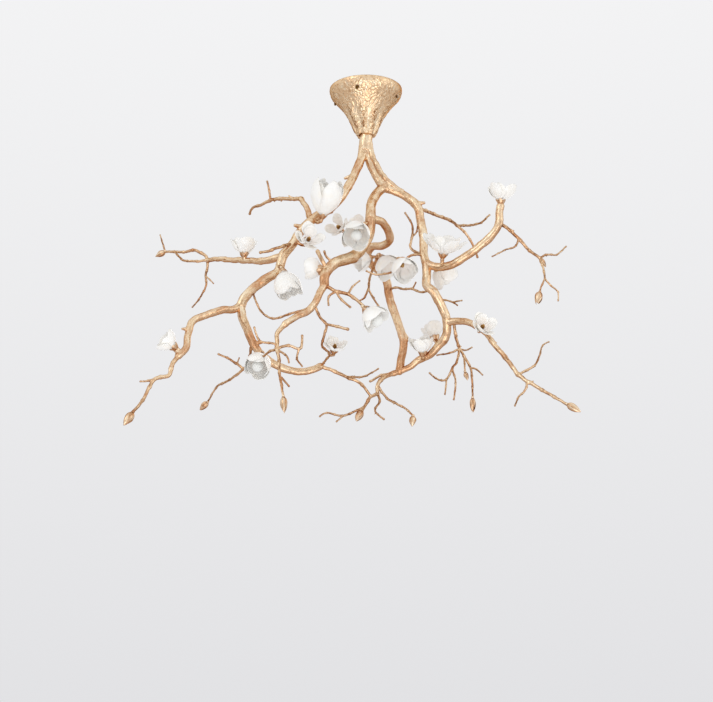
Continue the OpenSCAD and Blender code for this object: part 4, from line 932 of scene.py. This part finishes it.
# A bud is (tip of its twig, way it points, length, radius as a share of the length), as in the part
buds = [
    ((-465, -290, -815), (-0.4, -0.4, -0.8), 34, 0.24),
    ((-365, 90, -730), (-0.7, 0.4, -0.6), 28, 0.24),
    ((-480, 120, -360), (-0.85, 0.3, -0.35), 28, 0.24),
    ((-170, -245, -775), (0.1, -0.1, -1), 34, 0.18),
    ((410, -210, -785), (0.7, -0.4, -0.5), 34, 0.22),
    ((375, -125, -525), (-0.2, -0.3, -0.9), 30, 0.24),
    ((385, -80, -435), (0.5, 0.3, -0.7), 24, 0.2),
    ((240, 30, -730), (0, 0.1, -1), 32, 0.18),
    ((220, -15, -680), (0.2, -0.3, -0.9), 22, 0.2),
    ((-10, -30, -770), (-0.4, -0.5, -0.8), 32, 0.24),
    ((100, -85, -790), (-0.1, -0.3, -0.9), 25, 0.28),
]
bud = {"outerCount": 3, "innerCount": 3, "tilt": 0.06, "sizeChange": 0.07, "ruffle": 1.8 * mm,
       "ruffleSize": 9, "firstSeed": 70, "turnStep": 67, "material": budBrass}
outerLook = {**sepalLook, "spread": 1.02, "round": 0.42, "lap": 0.6, "point": 0.06, "thick": 1.0}
innerLook = {**sepalLook, "spread": 0.95, "round": 0.3, "lap": 0.5, "point": 0.04}
eggs = []
for number, (tip, way, length, wide) in enumerate(buds, 1):
    # A pointed egg wrapped in scales
    swell = [(s, wide * length * math.sin(math.pi * s ** 0.75) ** 0.8 + 0.6)
             for s in np.linspace(0.04, 0.97, 12)]
    outline = [(0, -4), (2.6, -3), (3.2, 0)] + [(r - 0.7, length * s) for s, r in swell] + [(0, length)]
    egg = lathe("budEgg", outline, 24)
    outerSpine = np.array([(r + 0.25, length * s * 0.93) for s, r in swell])
    innerSpine = np.array([(r - 0.15, length * s * 1.02) for s, r in swell])
    outerScale = petalShell("outerScale", outerSpine, outerLook, length=length)
    innerScale = petalShell("innerScale", innerSpine, innerLook, length=length)
    place = facing(tip, way, bud["turnStep"] * number)
    values = {**bud, "seed": bud["firstSeed"] + number}
    eggs.append(ringed("bud%d" % number, egg, outerScale, innerScale, place, values))
dress(joined("brass_buds", eggs), "fixture", "cast_bud", "cast_buds")
print("calyxes and buds made")

# Pistils: club-headed stamens in a spiral over a cone, turned by the golden angle from one to the next
pistil = {"profile": [(4.4, 0), (4.2, 4), (3.6, 9), (2.4, 13), (0.8, 15.4), (0, 15.6)], "stamens": 120,
          "height": 15.0, "foot": 4.3, "screw": 2, "goldenAngle": 2.39996, "smallUpTo": 36, "small": 0.6}
stamens, add, given = newTree("stamenCone", Object="core", Int="count seed", Float="height foot",
                              Material="material")
number = add("InputIndex")
share = add("Math", {0: number, 1: (given, "count")}, "DIVIDE")
turn = add("Math", {0: number, 1: pistil["goldenAngle"]}, "MULTIPLY")
rise = add("Math", {0: share, 1: (given, "height")}, "MULTIPLY")
squared = add("Math", {0: share, 1: 2.2}, "POWER")
shrink = add("Math", {0: 1.0, 1: squared}, "SUBTRACT")
radius = add("Math", {0: shrink, 1: (given, "foot")}, "MULTIPLY")
x, y = [add("Math", {0: add("Math", {0: turn}, wave), 1: radius}, "MULTIPLY")
        for wave in ("COSINE", "SINE")]
spot = add("CombineXYZ", {0: x, 1: y, 2: rise})
points = add("Points", {"Count": (given, "count"), "Position": spot})
luck = add("RandomValue", {2: -0.25, 3: 0.25, "ID": number, "Seed": (given, "seed")})
spreading = add("MapRange", {0: share, 3: 1.0, 4: 0.15})
tilt = add("Math", {0: spreading, 1: (luck, 1)}, "ADD")
aim = add("CombineXYZ", {1: tilt, 2: turn})
rotation = add("EulerToRotation", {0: aim})
stalk = add("MeshCone", {"Vertices": 6, "Radius Top": 0.00035, "Radius Bottom": 0.00035, "Depth": 0.0024})
head = add("MeshIcoSphere", {"Radius": 0.00075, "Subdivisions": 2})
raised = add("Transform", {"Geometry": head, "Translation": (0, 0, 0.0026)})
pin = add("JoinGeometry")
crowd = add("InstanceOnPoints", {"Points": points, "Instance": pin, "Rotation": rotation})
core = add("ObjectInfo", {0: (given, "core")})
everything = add("JoinGeometry")
for part, whole in ((stalk, pin), (raised, pin), (crowd, everything), (core, everything)):
    stamens.links.new(part.outputs["Geometry" if part == core else 0], whole.inputs[0])
heightNow = add("SeparateXYZ", {0: add("InputPosition")})
endTree(add, given, everything, add("MapRange", {0: (heightNow, 2), 2: 0.016, 3: 0.25, 4: 0.75}))

cones = []
for number, (foot, way, length, opening, petals, turn) in enumerate(flowers, 1):
    if number in lampFlowers:
        continue
    size = 1 if length > pistil["smallUpTo"] else pistil["small"]
    screw = [(0, -10), (pistil["screw"], -10), (pistil["screw"], 0.2)]
    core = lathe("pistilCore", screw + [(r * size, h * size) for r, h in pistil["profile"]], 24)
    holder = newPiece("pistilHolder", [])
    useTree(holder, stamens, {"core": core, "count": round(pistil["stamens"] * size), "seed": number,
                              "height": pistil["height"] * size * mm, "foot": pistil["foot"] * size * mm,
                              "material": gilt})
    cones.append(frozen(holder, "pistil%d" % number, facing(foot, way) @ Matrix.Translation((0, 0, 4 * mm))))
    bpy.data.objects.remove(core)
dress(joined("brass_pistils", cones), "fixture", "stamen_brass", "flower_pistils")
print("pistils made")

# Lamps: a globe on a neck, with two pins, in pressed glass with an etched, milky skin
lamp = {"foot": 17.3, "neckRadius": 4.2, "neck": 9, "globe": 12, "pinRadius": 0.4, "pinAt": 2, "pinReach": 7,
        "joinRadius": 5.2, "steps": 24, "etch": 0.6, "clouds": 9, "milk": "#F6F6F2", "shade": "#E8E9E6",
        "roughness": 0.42, "ior": 1.46}
frosted, tree, add = newMaterial("frostedLampGlass", Roughness=lamp["roughness"], IOR=lamp["ior"])
place = (add("TexCoord"), "Object")
etch = add("TexNoise", {"Vector": place, "Scale": 1 / (lamp["etch"] * mm), "Detail": 3})
cloud = add("TexNoise", {"Vector": place, "Scale": 1 / (lamp["clouds"] * mm), "Detail": 2})
milk = add("Mix", {0: cloud, 6: hexColour(lamp["milk"]), 7: hexColour(lamp["shade"])}, data_type="RGBA")
bump = add("Bump", {"Strength": 0.2, "Distance": 0.1 * mm, "Height": etch})
linkShader(tree, Base_Color=(milk, 2), Normal=(bump, 0))
pinSteel = plainSurface("brightSteel", {"colour": "#C4C6C8", "shade": "#A9ACAF", "metallic": 1,
                                        "roughness": 0.3, "cloud": 8, "grain": 0.5, "bump": 0.1})
neck, globe, thin, reach = [lamp[size] for size in ("neckRadius", "globe", "pinRadius", "pinReach")]
middle = lamp["neck"] + globe - 2
outline = [(0, 0), (neck - 0.4, 0), (neck, 0.5), (neck, lamp["neck"] - 1.6)]
firstAngle = math.asin(lamp["joinRadius"] / globe)
for k in range(lamp["steps"] + 1):
    a = firstAngle + (math.pi - firstAngle) * k / lamp["steps"]
    outline.append((globe * math.sin(a), middle - globe * math.cos(a)))
outline[-1] = (0, middle + globe)
for number, flowerNumber in enumerate(lampFlowers, 1):
    foot, way = flowers[flowerNumber - 1][:2]
    glass = smoothFaces(lathe("globe", outline, 48))
    glass.data.materials.append(frosted)
    glass.data.materials.append(pinSteel)
    pins = []
    for x in (-lamp["pinAt"], lamp["pinAt"]):
        profile = [(0, -reach), (thin - 0.1, -reach), (thin, 0.2 - reach), (thin, 1), (0, 1)]
        pin = smoothFaces(lathe("pin", profile, 16))
        pin.data.transform(Matrix.Translation((x * mm, 0, 0)))
        pin.data.materials.append(pinSteel)
        pins.append(pin)
    whole = joined("frosted_lamp_%d" % number, [glass] + pins)
    whole.data.transform(facing(foot, way) @ Matrix.Translation((0, 0, lamp["foot"] * mm)))
    dress(whole, "lamp_%d" % number, "frosted_lamp", "lamp_%d" % number)
print("lamps made")

# Supply leads: two smooth insulated tubes from the driver into the threaded tube
leadPath = [(6, 24, -20.5), (6, 24, -30), (5, 16, -46), (2, 6, -66), (1.5, 0, -84), (1.5, 0, -98)]
silicone = plainSurface("siliconeInsulation", {"colour": "#E9E5DB", "shade": "#DDD8CC", "roughness": 0.55,
                                               "cloud": 14, "grain": 0.8, "bump": 0.15})
leads = centreLines("leadLines", [(1.2, 1.2, [(side * x, y, z) for x, y, z in leadPath])
                                  for side in (-1, 1)])
useTree(leads, grow, {"ringStep": 0.8 * mm, "sides": 16, "jointGap": 1000.0, "jointSwell": 0.0,
                      "spurChance": 0.0, "wander": 0.0, "seed": 1})
leadPair = smoothFaces(frozen(leads, "supply_lead_pair"))
leadPair.data.materials.append(silicone)
dress(leadPair, "fixture", "lead_rubber", "supply_leads")

# The CAD pieces that show as they are, each with its own finish
satinBrass = {"colour": "#E0B268", "shade": "#C8964C", "metallic": 1, "roughness": 0.3, "cloud": 12,
              "grain": 0.5, "bump": 0.12}
finishes = {
    "zincPlatedSteel": (["ceiling_bracket"], {"colour": "#C3C6C8", "shade": "#A4A8AB", "metallic": 1,
                                              "roughness": 0.4, "cloud": 9, "grain": 0.7, "bump": 0.12}),
    # The screw heads are dark brown brass, dark enough that they also paint the shade of their recesses
    "darkScrewBrass": (["canopy_screw_%d" % k for k in range(1, 5)], {
        **satinBrass, "colour": "#8A6434", "shade": "#4E3618", "roughness": 0.36}),
    "turnedBrass": (["threaded_tube", "tube_nuts", "earth_screw"], satinBrass),
    "mouldedPolyamide": (["terminal_block"], {"colour": "#EFECE4", "shade": "#E4E0D6", "roughness": 0.45,
                                              "cloud": 22, "grain": 0.6, "bump": 0.12}),
    "mouldedPolycarbonate": (["lamp_driver"], {"colour": "#F1F1EE", "shade": "#E5E6E4", "roughness": 0.38,
                                               "cloud": 30, "grain": 0.9, "bump": 0.1}),
    "unglazedSteatite": (["lamp_holders"], {"colour": "#ECE8DF", "shade": "#DDD7CA", "roughness": 0.6,
                                            "cloud": 7, "grain": 0.7, "bump": 0.2})}
for finishName, (names, look) in finishes.items():
    finish = plainSurface(finishName, look)
    for name in names:
        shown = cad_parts[name]
        shown.data.materials.clear()
        shown.data.materials.append(finish)
print("CAD pieces finished")
